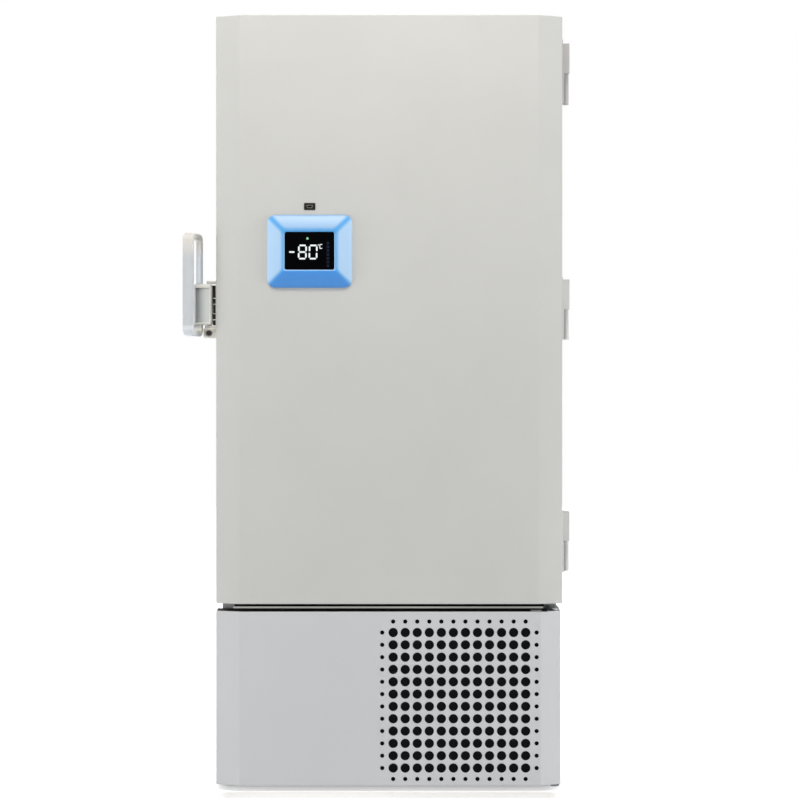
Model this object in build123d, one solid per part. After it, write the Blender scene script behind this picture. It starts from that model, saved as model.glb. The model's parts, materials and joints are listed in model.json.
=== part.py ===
from build123d import *
import os
from math import cos, radians, sin

# Upright ultra low temperature freezer on casters, with a faceted outer door, four inner doors and a cascade
# cooling system in a machine compartment behind a perforated access door.
# Millimetres. X runs to the viewer's right, Y from the front to the back and Z up. The origin is on the floor,
# under the centre of the cabinet's own footprint.

# Cabinet: an insulated steel box above a machine compartment
cabinet_width = 870
cabinet_depth = 770
cabinet_top = 1972
sheet = 1.5  # painted steel sheet of the casings
side_bottom = 45  # lower edge of the side panels
side_flange = 32  # front and rear returns of the side panels
box_bottom = 468  # underside of the insulated box
sill_flange = 48  # upright front return of the box's floor plate
back_overlap = 22  # how far the back sheets lap onto the side returns

# Storage chamber
side_insulation = 143  # from the cabinet's side to the chamber
ceiling_insulation = 84
floor_insulation = 120
back_wall = 95  # from the chamber's back to the cabinet's back
liner_wall = 1.2
coil_space = 11.8  # between the liner and the foam, for the evaporator
throat_depth = 40  # plastic breaker round the mouth of the chamber
breaker_plate = 3
evaporator_levels = 9
evaporator_tube = 9
evaporator_margin = 70  # from the chamber's floor and roof to the first and last run

# Shelves and inner doors
compartments = 4
shelf_clearance = 2  # side gap between a shelf and its standards
shelf_lip = 18
shelf_front_gap = 8  # behind the throat
shelf_back_gap = 6
standard_width = 20
standard_depth = 6
standard_inset = 90  # from the shelf's front and back edges to the standards
clip_reach = 14
clip_height = 5
inner_door_gap = 5  # between one inner door and the next
inner_door_side_gap = 4
inner_door_depth = 30
inner_door_setback = 4  # behind the cabinet's front plane
inner_rod_radius = 4
running_clearance = 0.05
pull_width = 12
pull_height = 110
pull_depth = 6
pull_inset = 22

# Outer door
door_overhang = 8.5  # beyond the cabinet on each side
door_rise = 14  # from the underside of the insulated box to the door's bottom
door_top_rise = 8  # above the cabinet
door_depth = 112
door_standoff = 14  # between the cabinet and the closed door, filled by the gasket
facet_width = 62  # slanted strip down each side of the front, seen from the front
facet_depth = 26
door_return = 22
inner_panel_wall = 3
plug_depth = 8
plug_margin = 10  # between the plug and the chamber's mouth
gasket_width = 24
gasket_inset = 8  # from the cabinet's outer edge to the gasket
gasket_play = 0.3

# Door hinges, with the door's knuckle above the cabinet's
hinge_height = 155
hinge_from_bottom = 150  # from the door's bottom to the lowest hinge's middle
hinge_from_top = 136
middle_hinge_rise = 2  # above the door's middle
knuckle_radius = 8.5
knuckle_gap = 1
hinge_pin_radius = 5
hinge_offset = 14.5  # from the door's side to the pin's centre
hinge_setback = 4  # behind the door's back
leaf = 4
leaf_length = 55
leaf_overhang = 5  # the door leaf stands this far above its knuckle
door_knuckle_reach = 30
cabinet_leaf_arm = 9

# Latch and handle, on the door's left side
latch_offset = 22.5  # from the door's side to the pivot
latch_setback = 26  # from the door's back to the pivot
latch_pin_radius = 5
latch_plate = 4
latch_plate_length = 50
ear_thickness = 8
ear_radius = 11
ear_gap = 0.5
body_drop = 39  # from the door's middle down to the body's underside
body_height = 106
body_radius = 17.5
body_reach = 39.5  # from the pivot to the body's far side
body_pocket_depth = 4
body_pocket_margin = 7
loop_drop = 30  # below the body
loop_height = 264
loop_depth = 77.5  # between the centres of the grip and the rear bar
loop_grip_width = 28  # across the bar that the hand takes
loop_bar_width = 15  # across the rear bar
loop_bar_depth = 16
loop_corner = 10
loop_offset = 26  # from the pivot out to the rear bar's centre
loop_tilt = 16  # degrees that the loop leans outwards, seen from above
rear_bar_setforward = 5
hook_rise = 34  # above the body's underside
hook_height = 38
hook_arm_near = 18
hook_arm_width = 12
hook_face = 59  # from the pivot back to the face that bears on the strike
hook_finger = 10
hook_tip = 5.5
lock_radius = 15
lock_height = 25
lock_flat = 12
lock_plug_radius = 6.5
lock_plug_length = 14
lock_plug_proud = 2
lock_slot_width = 1.6
lock_slot_length = 8
lock_slot_depth = 4

# Strike on the cabinet's left side
strike_post_radius = 5
strike_post_x = 1  # from the latch pivot towards the cabinet
strike_post_y = 52  # from the latch pivot to the back
strike_plate = 4
strike_plate_length = 60
strike_ear = 7
strike_play = 4
strike_ear_margin = 10

# Display and data port, on the front of the door
display_from_edge = 240.9
display_rise = 146.5  # above the door's middle
bezel_width = 216
bezel_height = 186
bezel_corner = 12
bezel_depth = 20
bezel_slope = 41  # how far each side slopes in
screen_width = 126
screen_height = 96
screen_corner = 4
screen_recess = 2
port_rise = 114  # above the display's middle
port_plate_width = 29
port_plate_height = 18
port_plate = 1.2
port_body_width = 19
port_body_height = 10
port_body_depth = 18
socket_width = 13.2
socket_height = 5.8
socket_depth = 12

# Access door: a perforated front sheet on a frame, turning on pins at its right edge
access_bottom = 15
access_top_gap = 8.7  # below the insulated box
access_right_inset = 5
access_right_facet = 52
access_gap = 6  # between the frame and the cabinet
access_wall = 1.5
access_flange = 46  # depth of the upper and lower flanges, from the front
access_pivot_inset = 14  # from the right edge
access_pivot_setback = 32  # from the front
access_pin_radius = 4
access_bracket = 3
access_bracket_gap = 3
access_bracket_width = 22
access_bracket_leg = 60
access_pin_reach = 8  # how far the pin stands into the door
hole_rows = 12
hole_columns = 12
hole_diameter = 23
edge_hole_diameter = 10.5
hole_sides = 6  # each hole is drawn with this many flats
edge_hole_sides = 4
hole_pitch_x = 30.7
hole_pitch_z = 31.4
edge_hole_offset = 28
grille_from_edge = 259.5  # from the access door's right edge to the grille's middle
grille_rise = 218  # from the access door's bottom to the grille's middle
filter_frame = 6
filter_margin = 3
filter_depth = 12
filter_foam_depth = 6

# Machine compartment
base_sheet = 3
base_flange = 24
sill_rail_drop = 6  # below the insulated box
sill_rail_height = 12
sill_rail_depth = 16
compressor_length = 210
compressor_width = 150
compressor_body = 175
compressor_foot = 12
compressor_foot_inset = 15
compressor_corner = 42
compressor_dome = 34
compressor_taper = 42
compressor_from_side = 180
compressor_from_front = 195
compressor_from_back = 235
condenser_from_compressors = 170
condenser_from_side = 85
condenser_from_front = 35
condenser_headroom = 65
condenser_depth = 62
condenser_fins = 12
fin_thickness = 2
condenser_end_plate = 3
shroud_depth = 34
fan_margin = 28  # from the blades' tips to the condenser's nearest edge
fan_tip_gap = 6
fan_hub_radius = 32
fan_hub_depth = 26
fan_blades = 5
fan_blade_thickness = 2
fan_blade_root = 14  # from the shaft to where a blade starts inside the hub
fan_chord = 42
fan_pitch = 32
motor_radius = 42
motor_depth = 70
motor_shaft_radius = 6
motor_gap = 6
motor_arm = 10
control_box_size = (200, 90, 240)
control_box_from_back = 130
control_box_rise = 87
control_box_edge = 8
battery_size = (150, 65, 95)
battery_place = (10, 305)  # right of the condenser's left edge, and in front of the back
terminal_size = (8, 8, 6)
terminal_inset = 18
exchanger_size = (120, 110, 230)
exchanger_place = (100, 235)
exchanger_edge = 12
line_radius = 5
line_stand_off = 40  # from a compressor to the upright runs
line_outlet = 90  # above the compartment's floor
line_rise = 230
drier_radius = 16
drier_length = 110
drier_from_back = 95
drier_rise = 157

# Back of the cabinet
rear_slots = 9
rear_slot_width = 300
rear_slot_height = 7
rear_slot_pitch = 24
rear_slots_from_side = 305
rear_slots_rise = 70
bumper_size = 56
bumper_depth = 39.5
bumper_slope = 8
bumper_inset = 135
lower_bumper_rise = 292  # above the box's underside
upper_bumper_drop = 272  # below the cabinet's top
sleeve_bore = 25.4
sleeve_wall = 5
sleeve_from_side = 142  # from the chamber's left wall
sleeve_flange = 10
sleeve_flange_depth = 4
inlet_from_side = 105
inlet_rise = 200
inlet_width = 52
inlet_height = 40
inlet_depth = 34
inlet_flange = 4
inlet_wall = 5
inlet_cavity = 20
blade_length = 14
blade_size = (2, 8)
blade_spacing = 13
blade_drop = 6
switch_drop = 60  # below the inlet's middle
switch_width = 16
switch_height = 26
switch_depth = 12
switch_frame = 3
switch_play = 0.4
switch_tilt = 10
switch_pin_radius = 1.5

# Casters
caster_inset_x = 105
caster_inset_y = 100
caster_plate = 4
caster_plate_size = 90
race_radius = 24
race_height = 11
swivel_gap = 0.4
king_pin_radius = 8
wheel_radius = 37.5
wheel_width = 30
wheel_play = 1
wheel_headroom = 4.6  # between the wheel and the fork's crown
axle_radius = 6
fork_wall = 3.5
fork_crown = 5
caster_trail = 30
fork_leg_radius = 14
brake_pin_radius = 2.5
brake_pin_distance = 44  # from the axle
brake_pin_angle = 50  # above the level through the axle
brake_eye = 4.5
brake_play = 0.5
brake_reach = 24  # from its pin to the pedal's end
brake_thickness = 4
brake_slope = 20

# Repeated round pieces are drawn with flats
round_sides = 12
wheel_sides = 32
shroud_sides = 24

# Places that follow from the sizes above
half_width = cabinet_width / 2
front = -cabinet_depth / 2
back = cabinet_depth / 2
door_back = front - door_standoff
door_front = door_back - door_depth
door_side = half_width + door_overhang
door_bottom = box_bottom + door_rise
door_top = cabinet_top + door_top_rise
door_middle = (door_bottom + door_top) / 2
chamber_floor = box_bottom + floor_insulation
chamber_top = cabinet_top - ceiling_insulation
chamber_height = chamber_top - chamber_floor
chamber_back = back - back_wall
chamber_side = half_width - side_insulation
liner_front = front + throat_depth
foam_front = front + breaker_plate
hinge_x = door_side + hinge_offset
hinge_y = door_back + hinge_setback
hinge_centres = (door_bottom + hinge_from_bottom, door_middle + middle_hinge_rise, door_top - hinge_from_top)
latch_x = -door_side - latch_offset
latch_y = door_back - latch_setback
body_bottom = door_middle - body_drop
loop_bottom = body_bottom - loop_drop
hook_bottom = body_bottom + hook_rise
display_x = -door_side + display_from_edge
display_z = door_middle + display_rise
port_z = display_z + port_rise
access_left = -door_side
access_right = door_side - access_right_inset
access_top = box_bottom - access_top_gap
access_back = front - access_gap
access_pivot_x = access_right - access_pivot_inset
access_pivot_y = door_front + access_pivot_setback
grille_x = access_right - grille_from_edge
grille_z = access_bottom + grille_rise
base_height = 2 * wheel_radius + wheel_headroom + fork_crown + swivel_gap + race_height + caster_plate
base_top = base_height + base_sheet
compressor_x = -half_width + compressor_from_side
compressor_places = ((compressor_x, front + compressor_from_front), (compressor_x, back - compressor_from_back))
condenser_left = compressor_x + compressor_length / 2 + condenser_from_compressors
condenser_right = half_width - condenser_from_side
condenser_x = (condenser_left + condenser_right) / 2
condenser_width = condenser_right - condenser_left
condenser_height = box_bottom - base_top - condenser_headroom
condenser_y = front + condenser_from_front
fan_radius = min(condenser_width, condenser_height) / 2 - fan_margin
sleeve_x = -chamber_side + sleeve_from_side
evaporator_step = (chamber_height - 2 * evaporator_margin) / (evaporator_levels - 1)
sleeve_z = chamber_top - evaporator_margin - (evaporator_step - evaporator_tube) / 2
inlet_x = half_width - inlet_from_side
inlet_z = base_height + inlet_rise
switch_z = inlet_z - switch_drop


def box_between(low, high):
    """A box from its lowest corner to its highest."""
    size = [b - a for a, b in zip(low, high)]
    return Pos(*low) * Box(*size, align=(Align.MIN,) * 3)


def rectangle(left, right, bottom, top):
    """A rectangle sketch by its edges."""
    return Pos((left + right) / 2, (bottom + top) / 2) * Rectangle(right - left, top - bottom)


def upright(plan, bottom, top):
    """A plan outline in X and Y, raised between two heights."""
    return extrude(Pos(0, 0, bottom) * plan, top - bottom)


def slab(outline, front_face, rear_face):
    """An outline in X and Z, as a slab between two depths."""
    plane = Plane(origin=(0, rear_face, 0), x_dir=(1, 0, 0), z_dir=(0, -1, 0))
    return extrude(plane * outline, rear_face - front_face)


def across(outline, left, right):
    """An outline in Y and Z, as a bar between two places along X."""
    plane = Plane(origin=(left, 0, 0), x_dir=(0, 1, 0), z_dir=(1, 0, 0))
    return extrude(plane * outline, right - left)


def polygon(*points):
    """A flat face with these corners."""
    return make_face(Polyline(*points, close=True))


def rod(radius, start, direction, length):
    """A round bar from a point along a direction."""
    return extrude(Plane(origin=start, z_dir=direction) * Circle(radius), length)


def flats(radius):
    """The outline of a small round piece, drawn with flats inside its circle."""
    return RegularPolygon(radius, round_sides)


def bore_flats(radius):
    """The outline of the bore for such a piece, with flats outside its circle."""
    return RegularPolygon(radius, round_sides, major_radius=False)


def sloped_block(x, z, width, height, inset, near, far):
    """A block on a face, with all four sides sloping in by an inset between two depths."""
    half_x, half_z = width / 2, height / 2
    wide = polygon(
        (x - half_x, far), (x + half_x, far), (x + half_x - inset, near), (x - half_x + inset, near)
    )
    tall = polygon(
        (far, z - half_z), (far, z + half_z), (near, z + half_z - inset), (near, z - half_z + inset)
    )
    return upright(wide, z - half_z, z + half_z) & across(tall, x - half_x, x + half_x)


def flat_sided_rod(radius, start, direction, length):
    """A bar with flats, inside the round one of the same radius."""
    return extrude(Plane(origin=start, z_dir=direction) * flats(radius), length)


def flat_sided_bore(radius, start, direction, length):
    """A bore with flats, outside the round one of the same radius."""
    return extrude(Plane(origin=start, z_dir=direction) * bore_flats(radius), length)


def front_corners(left, right, left_facet, right_facet, setback=0):
    """Plan corners of a front with a slanted facet down each side, from left to right."""
    return [
        (left, door_front + facet_depth + setback),
        (left + left_facet, door_front + setback),
        (right - right_facet, door_front + setback),
        (right, door_front + facet_depth + setback),
    ]


def side_panel(side):
    """A side sheet with returns at the front and the back."""
    outer = rectangle(half_width - side_flange, half_width, front, back)
    hollow = rectangle(half_width - side_flange, half_width - sheet, front + sheet, back - sheet)
    panel = upright(outer - hollow, side_bottom, cabinet_top - sheet)
    return panel if side > 0 else mirror(panel, about=Plane.YZ)


def top_panel():
    """The roof sheet, with returns folded down between the side panels."""
    inner = half_width - side_flange
    flange_bottom = cabinet_top - side_flange
    roof = box_between((-half_width, front, cabinet_top - sheet), (half_width, back, cabinet_top))
    fold = box_between((-inner, front, flange_bottom), (inner, front + sheet, cabinet_top - sheet))
    rear_fold = box_between((-inner, back - sheet, flange_bottom), (inner, back, cabinet_top - sheet))
    return roof + fold + rear_fold


def sleeve_hole(start, end):
    """The clear hole for the access port's sleeve, through a wall at the back."""
    return rod(sleeve_bore / 2 + sleeve_wall, (sleeve_x, start, sleeve_z), (0, 1, 0), end - start)


def back_panel():
    """The upper back sheet, lapped onto the side returns."""
    edge = half_width - side_flange + back_overlap
    panel = box_between((-edge, back, box_bottom), (edge, back + sheet, cabinet_top - side_flange / 2))
    return panel - sleeve_hole(back - sheet, back + 2 * sheet)


def foam_insulation():
    """The foamed wall between the outer casing and the chamber."""
    skin = half_width - sheet
    body = box_between((-skin, foam_front, box_bottom + sheet), (skin, back - sheet, cabinet_top - sheet))
    space = liner_wall + coil_space
    cavity = box_between(
        (-chamber_side - space, foam_front, chamber_floor - space),
        (chamber_side + space, chamber_back + space, chamber_top + space),
    )
    return body - cavity - sleeve_hole(chamber_back, back)


def inner_liner():
    """The chamber's steel liner, open at the front."""
    outer = box_between(
        (-chamber_side - liner_wall, liner_front, chamber_floor - liner_wall),
        (chamber_side + liner_wall, chamber_back + liner_wall, chamber_top + liner_wall),
    )
    inner = box_between(
        (-chamber_side, liner_front, chamber_floor), (chamber_side, chamber_back, chamber_top)
    )
    start = (sleeve_x, chamber_back - liner_wall, sleeve_z)
    return outer - inner - flat_sided_bore(sleeve_bore / 2 + sleeve_wall, start, (0, 1, 0), 3 * liner_wall)


def breaker_frame():
    """The plastic frame that bridges the outer casing and the liner round the chamber's mouth."""
    mouth = rectangle(-chamber_side, chamber_side, chamber_floor, chamber_top)
    edge = half_width - side_flange
    face = rectangle(-edge, edge, box_bottom + sill_flange, cabinet_top - side_flange)
    space = liner_wall + coil_space
    throat = rectangle(
        -chamber_side - space, chamber_side + space, chamber_floor - space, chamber_top + space
    )
    return slab(face - mouth, front, foam_front) + slab(throat - mouth, foam_front, liner_front)


def evaporator_coil():
    """Flattened tube bonded to the liner's two sides and back, in level runs joined at their ends."""
    near = chamber_side + liner_wall
    far = near + evaporator_tube
    rear = chamber_back + liner_wall
    start = liner_front + evaporator_margin
    run = polygon(
        (-far, start),
        (-far, rear + evaporator_tube),
        (far, rear + evaporator_tube),
        (far, start),
        (near, start),
        (near, rear),
        (-near, rear),
        (-near, start),
    )
    coil = Part()
    for level in range(evaporator_levels):
        z = chamber_floor + evaporator_margin + level * evaporator_step
        coil += upright(run, z, z + evaporator_tube)
        if level + 1 < evaporator_levels:
            inner, outer = (near, far) if level % 2 else (-far, -near)
            coil += box_between((inner, start, z), (outer, start + evaporator_tube, z + evaporator_step))
    return coil


def cabinet_floor_plate():
    """The steel floor of the insulated box, with an upright return at the front that the gasket closes on."""
    edge = half_width - side_flange
    skin = half_width - sheet
    plate = box_between((-skin, front + sheet, box_bottom), (skin, back - sheet, box_bottom + sheet))
    fold = box_between((-edge, front, box_bottom), (edge, front + sheet, box_bottom + sill_flange))
    return plate + fold


def front_sill():
    """The folded rail across the top of the machine compartment's mouth."""
    sill_rail_top = box_bottom - sill_rail_drop
    face = rectangle(front - sheet, front, sill_rail_top - sill_rail_height, sill_rail_top)
    web = rectangle(front - sheet, front + sill_rail_depth, sill_rail_top - sheet, sill_rail_top)
    riser = rectangle(
        front + sill_rail_depth - sheet, front + sill_rail_depth, sill_rail_top - sheet, box_bottom
    )
    edge = half_width - side_flange
    return across(face + web + riser, -edge, edge)


shelf_side = chamber_side - standard_depth - shelf_clearance
shelf_front = liner_front + shelf_front_gap
shelf_back = chamber_back - shelf_back_gap
compartment_height = chamber_height / compartments
shelf_heights = [chamber_floor + compartment_height * n for n in range(1, compartments)]


def shelf(top):
    """A steel shelf with a lip folded down all round."""
    low = (-shelf_side, shelf_front, top - shelf_lip)
    high = (shelf_side, shelf_back, top)
    inside = (
        (-shelf_side + sheet, shelf_front + sheet, top - shelf_lip),
        (shelf_side - sheet, shelf_back - sheet, top - sheet),
    )
    return box_between(low, high) - box_between(*inside)


def shelf_standard(side, y):
    """An upright on the chamber's side wall, with a clip under each shelf."""
    near, far = sorted((side * chamber_side, side * (chamber_side - standard_depth)))
    post = box_between((near, y, chamber_floor), (far, y + standard_width, chamber_top))
    for top in shelf_heights:
        clip_end = chamber_side - standard_depth - clip_reach
        clip_near, clip_far = sorted((side * chamber_side, side * clip_end))
        clip_top = top - shelf_lip
        post += box_between((clip_near, y, clip_top - clip_height), (clip_far, y + standard_width, clip_top))
    return post


rod_x = chamber_side - inner_door_side_gap - inner_door_depth / 2
rod_y = front + inner_door_setback + inner_door_depth / 2


def inner_door(number):
    """An insulated inner door with a rounded hinge edge, a bore for the hinge rod and a moulded pull."""
    bottom = chamber_floor + compartment_height * number + inner_door_gap / 2
    top = bottom + compartment_height - inner_door_gap
    left = -chamber_side + inner_door_side_gap
    door_face = rod_y - inner_door_depth / 2
    plan = rectangle(left, rod_x, door_face, door_face + inner_door_depth)
    plan += Pos(rod_x, rod_y) * Circle(inner_door_depth / 2)
    plan -= Pos(rod_x, rod_y) * bore_flats(inner_rod_radius + running_clearance)
    pull_middle = (bottom + top) / 2
    pull = rectangle(
        left + pull_inset,
        left + pull_inset + pull_width,
        pull_middle - pull_height / 2,
        pull_middle + pull_height / 2,
    )
    return upright(plan, bottom, top) + slab(pull, door_face - pull_depth, door_face)


def door_volume(inset, bottom, top):
    """The door's outer form, drawn in by a wall thickness."""
    corners = front_corners(-door_side, door_side, facet_width, facet_width)
    plan = polygon((-door_side, door_back), *corners, (door_side, door_back))
    if inset:
        plan = offset(plan, amount=-inset, kind=Kind.INTERSECTION)
    return upright(plan, bottom + inset, top - inset)


def data_port_pocket():
    """The hole for the data port's body, through the skin and into the foam."""
    outline = Pos(display_x, port_z) * Rectangle(port_body_width, port_body_height)
    return slab(outline, door_front, door_front + port_body_depth)


def door_panel_outline():
    """The opening between the returns at the door's back."""
    side = door_side - door_return
    return rectangle(-side, side, door_bottom + door_return, door_top - door_return)


def door_outer_skin():
    """The folded steel front of the door, with facets, sides and returns."""
    hollow = door_volume(sheet, door_bottom, door_top)
    mouth = slab(door_panel_outline(), door_back - 2 * sheet, door_back)
    return door_volume(0, door_bottom, door_top) - hollow - mouth - data_port_pocket()


def door_foam():
    """The door's insulation, between the skin and the inner panel."""
    panel = slab(door_panel_outline(), door_back - inner_panel_wall, door_back)
    return door_volume(sheet, door_bottom, door_top) - panel - data_port_pocket()


def door_inner_panel():
    """The plastic inner face of the door, with a raised plug that faces the inner doors."""
    side = chamber_side - plug_margin
    plug = rectangle(-side, side, chamber_floor + plug_margin, chamber_top - plug_margin)
    face = slab(door_panel_outline(), door_back - inner_panel_wall, door_back)
    return face + extrude(
        Plane(origin=(0, door_back, 0), x_dir=(-1, 0, 0), z_dir=(0, 1, 0)) * plug, plug_depth, taper=30
    )


def door_gasket():
    """The soft seal round the back of the door."""
    side = half_width - gasket_inset
    bottom, top = door_bottom + gasket_inset, cabinet_top - gasket_inset
    ring = rectangle(-side, side, bottom, top) - rectangle(
        -side + gasket_width, side - gasket_width, bottom + gasket_width, top - gasket_width
    )
    return slab(ring, door_back, front - gasket_play)


def hinge_split(centre):
    """The height at which a hinge's two knuckles meet."""
    return centre + knuckle_gap / 2


def hinge_door_leaf(centre):
    """The door's leaf and its block knuckle, over the upper half of a hinge."""
    bottom, top = hinge_split(centre), centre + hinge_height / 2
    knuckle = rectangle(
        door_side, hinge_x + knuckle_radius, hinge_y - door_knuckle_reach, door_back - 2 * knuckle_gap
    ) + rectangle(door_side + leaf, hinge_x + knuckle_radius, hinge_y - door_knuckle_reach, hinge_y)
    knuckle += Pos(hinge_x, hinge_y) * flats(knuckle_radius)
    knuckle -= Pos(hinge_x, hinge_y) * bore_flats(hinge_pin_radius + running_clearance)
    plate = rectangle(door_side, door_side + leaf, door_back - leaf_length, door_back - 2 * knuckle_gap)
    return upright(knuckle, bottom, top) + upright(plate, bottom, top + leaf_overhang)


def hinge_cabinet_leaf(centre):
    """The cabinet's leaf and its round knuckle, under the door's."""
    bottom, top = centre - hinge_height / 2, centre - knuckle_gap / 2
    knuckle = Pos(hinge_x, hinge_y) * flats(knuckle_radius)
    arm = rectangle(half_width, hinge_x, hinge_y, hinge_y + cabinet_leaf_arm)
    plate = rectangle(half_width, half_width + leaf, hinge_y, hinge_y + leaf_length)
    return upright(knuckle + arm + plate, bottom, top)


def hinge_pin(centre):
    """The pin that stands on the cabinet's knuckle and goes up through the door's."""
    bottom, top = centre - knuckle_gap / 2, centre + hinge_height / 2
    return upright(Pos(hinge_x, hinge_y) * Circle(hinge_pin_radius), bottom, top)


def display_bezel():
    """The frame round the display, sloping up from the door to the screen's mouth."""
    foot = Pos(display_x, display_z) * chamfer(Rectangle(bezel_width, bezel_height).vertices(), bezel_corner)
    top = door_front - bezel_depth
    body = sloped_block(display_x, display_z, bezel_width, bezel_height, bezel_slope, top, door_front)
    return (body & slab(foot, top, door_front)) - display_screen(0)


def display_screen(recess):
    """The glass and its module, set back in the bezel's mouth."""
    outline = Pos(display_x, display_z) * chamfer(
        Rectangle(screen_width, screen_height).vertices(), screen_corner
    )
    return slab(outline, door_front - bezel_depth + recess, door_front)


def data_port():
    """A data socket: a cover plate and a hollow body."""
    centre = Pos(display_x, port_z)
    plate = slab(centre * Rectangle(port_plate_width, port_plate_height), door_front - port_plate, door_front)
    body = data_port_pocket()
    face = door_front - port_plate
    socket = slab(centre * Rectangle(socket_width, socket_height), face, face + socket_depth)
    return plate + body - socket


def latch_round(radius):
    """A round outline about the latch's pivot, in plan."""
    return Pos(latch_x, latch_y) * flats(radius)


lock_top = body_bottom - ear_gap - ear_thickness
lock_bottom = lock_top - lock_height
ear_top = body_bottom + body_height + ear_gap


def latch_base():
    """The bracket on the door's side: a plate, two ears for the pivot pin and the lock's housing."""
    plate = rectangle(
        -door_side - latch_plate,
        -door_side,
        latch_y - latch_plate_length / 2,
        latch_y + latch_plate_length / 2,
    )
    ear = rectangle(latch_x, -door_side, latch_y - ear_radius, latch_y + ear_radius) + latch_round(ear_radius)
    lock_plan = latch_round(lock_radius) + rectangle(
        latch_x, -door_side, latch_y - lock_radius, latch_y + lock_radius
    )
    lock_plan -= rectangle(
        latch_x - lock_radius, -door_side, latch_y - 2 * lock_radius, latch_y - lock_flat
    )
    base = upright(plate, lock_bottom, ear_top + ear_thickness)
    base += upright(ear, lock_top, lock_top + ear_thickness)
    base += upright(ear, ear_top, ear_top + ear_thickness)
    base += upright(lock_plan, lock_bottom, lock_top)
    start = (latch_x, lock_face - lock_plug_proud, lock_plug_z)
    length = lock_plug_length + running_clearance
    return base - rod(lock_plug_radius + running_clearance, start, (0, 1, 0), length)


lock_plug_z = (lock_bottom + lock_top) / 2
lock_face = latch_y - lock_flat


def lock_plug():
    """The plug that the key turns, with its keyway."""
    face = lock_face - lock_plug_proud
    barrel = flat_sided_rod(lock_plug_radius, (latch_x, face, lock_plug_z), (0, 1, 0), lock_plug_length)
    slot = Pos(latch_x, lock_plug_z) * Rectangle(lock_slot_width, lock_slot_length)
    return barrel - slab(slot, face, face + lock_slot_depth)


def latch_pin():
    """The upright pin that the handle turns on, held between the two ears."""
    return upright(latch_round(latch_pin_radius), lock_top + ear_thickness, ear_top)


def handle_loop():
    """The closed grip loop, carried round an upright rounded rectangle, narrower at the rear bar."""
    rear = Vector(latch_x - loop_offset, latch_y - rear_bar_setforward, 0)
    out = Vector(-sin(radians(loop_tilt)), -cos(radians(loop_tilt)), 0)
    middle = rear + out * (loop_depth / 2)
    centre_z = loop_bottom + loop_height / 2
    stand = Plane(
        origin=(middle.X, middle.Y, centre_z), x_dir=(out.X, out.Y, 0), z_dir=Vector(out.Y, -out.X, 0)
    )
    rise = loop_height - loop_bar_depth
    path = stand * RectangleRounded(loop_depth, rise, loop_corner).wire()
    start = path @ 0
    section = Plane(origin=start, x_dir=stand.z_dir, z_dir=path % 0)
    loop = sweep(section * Rectangle(loop_grip_width, loop_bar_depth), path=path)
    aside = Vector(-out.Y, out.X, 0)
    half = loop_bar_depth / 2
    ends = ((rear, -half, loop_bar_width), (rear, half, loop_bar_width),
            (rear + out * loop_depth, -half, loop_grip_width), (rear + out * loop_depth, half, loop_grip_width))
    left = [centre + out * along - aside * (width / 2) for centre, along, width in ends]
    right = [centre + out * along + aside * (width / 2) for centre, along, width in reversed(ends)]
    taper = polygon(*[(point.X, point.Y) for point in left + right])
    return loop & upright(taper, loop_bottom, loop_bottom + loop_height)


def door_handle():
    """The cast handle: grip loop and pivot body with a shallow pocket."""
    left = latch_x - body_reach
    plan = latch_round(body_radius) + rectangle(left, latch_x, latch_y - body_radius, latch_y + body_radius)
    body = upright(plan, body_bottom, body_bottom + body_height)
    pocket = rectangle(
        left + body_pocket_margin,
        latch_x + body_radius / 2,
        body_bottom + body_pocket_margin,
        body_bottom + body_height - 2 * body_pocket_margin,
    )
    face = latch_y - body_radius
    body -= slab(pocket, face, face + body_pocket_depth)
    handle = handle_loop() + body
    bore = Pos(latch_x, latch_y) * Circle(latch_pin_radius + running_clearance)
    return handle - upright(bore, body_bottom, body_bottom + body_height)


def latch_hook():
    """The hook on the back of the handle's body, which takes the strike."""
    arm_right = latch_x - hook_arm_near
    hook_back = latch_y + hook_face + hook_finger
    hook = rectangle(arm_right - hook_arm_width, arm_right, latch_y + body_radius, hook_back)
    hook += rectangle(arm_right, latch_x - hook_tip, latch_y + hook_face, hook_back)
    return upright(hook, hook_bottom, hook_bottom + hook_height)


def latch_strike():
    """The strike on the cabinet's side: a plate, two ears and the post that the hook takes."""
    post_x, post_y = latch_x + strike_post_x, latch_y + strike_post_y
    bottom = hook_bottom - strike_play - strike_ear
    top = hook_bottom + hook_height + strike_play + strike_ear
    reach = post_x - strike_ear_margin
    plate = box_between(
        (-half_width - strike_plate, front + sheet, bottom - strike_ear_margin),
        (-half_width, front + strike_plate_length, top + strike_ear_margin),
    )
    ear = Pos(post_x, post_y) * flats(strike_ear_margin) + rectangle(
        post_x, -half_width - strike_plate, post_y - strike_ear_margin, post_y + strike_ear_margin
    )
    strike = plate + upright(ear, bottom, bottom + strike_ear) + upright(ear, top - strike_ear, top)
    return strike + flat_sided_rod(strike_post_radius, (post_x, post_y, bottom), (0, 0, 1), top - bottom)


def perforations():
    """The holes in the access door's front: a square field with a border of small holes."""
    big = RegularPolygon(hole_diameter / 2, hole_sides)
    small = RegularPolygon(edge_hole_diameter / 2, edge_hole_sides)
    half_x = hole_pitch_x * (hole_columns - 1) / 2
    half_z = hole_pitch_z * (hole_rows - 1) / 2
    centre = Pos(grille_x, grille_z)
    field = GridLocations(hole_pitch_x, hole_pitch_z, hole_columns, hole_rows) * big
    rows = GridLocations(hole_pitch_x, 2 * (half_z + edge_hole_offset), hole_columns, 2) * small
    sides = GridLocations(2 * (half_x + edge_hole_offset), hole_pitch_z, 2, hole_rows) * small
    return [centre * outline for outline in [*field, *rows, *sides]]


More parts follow.
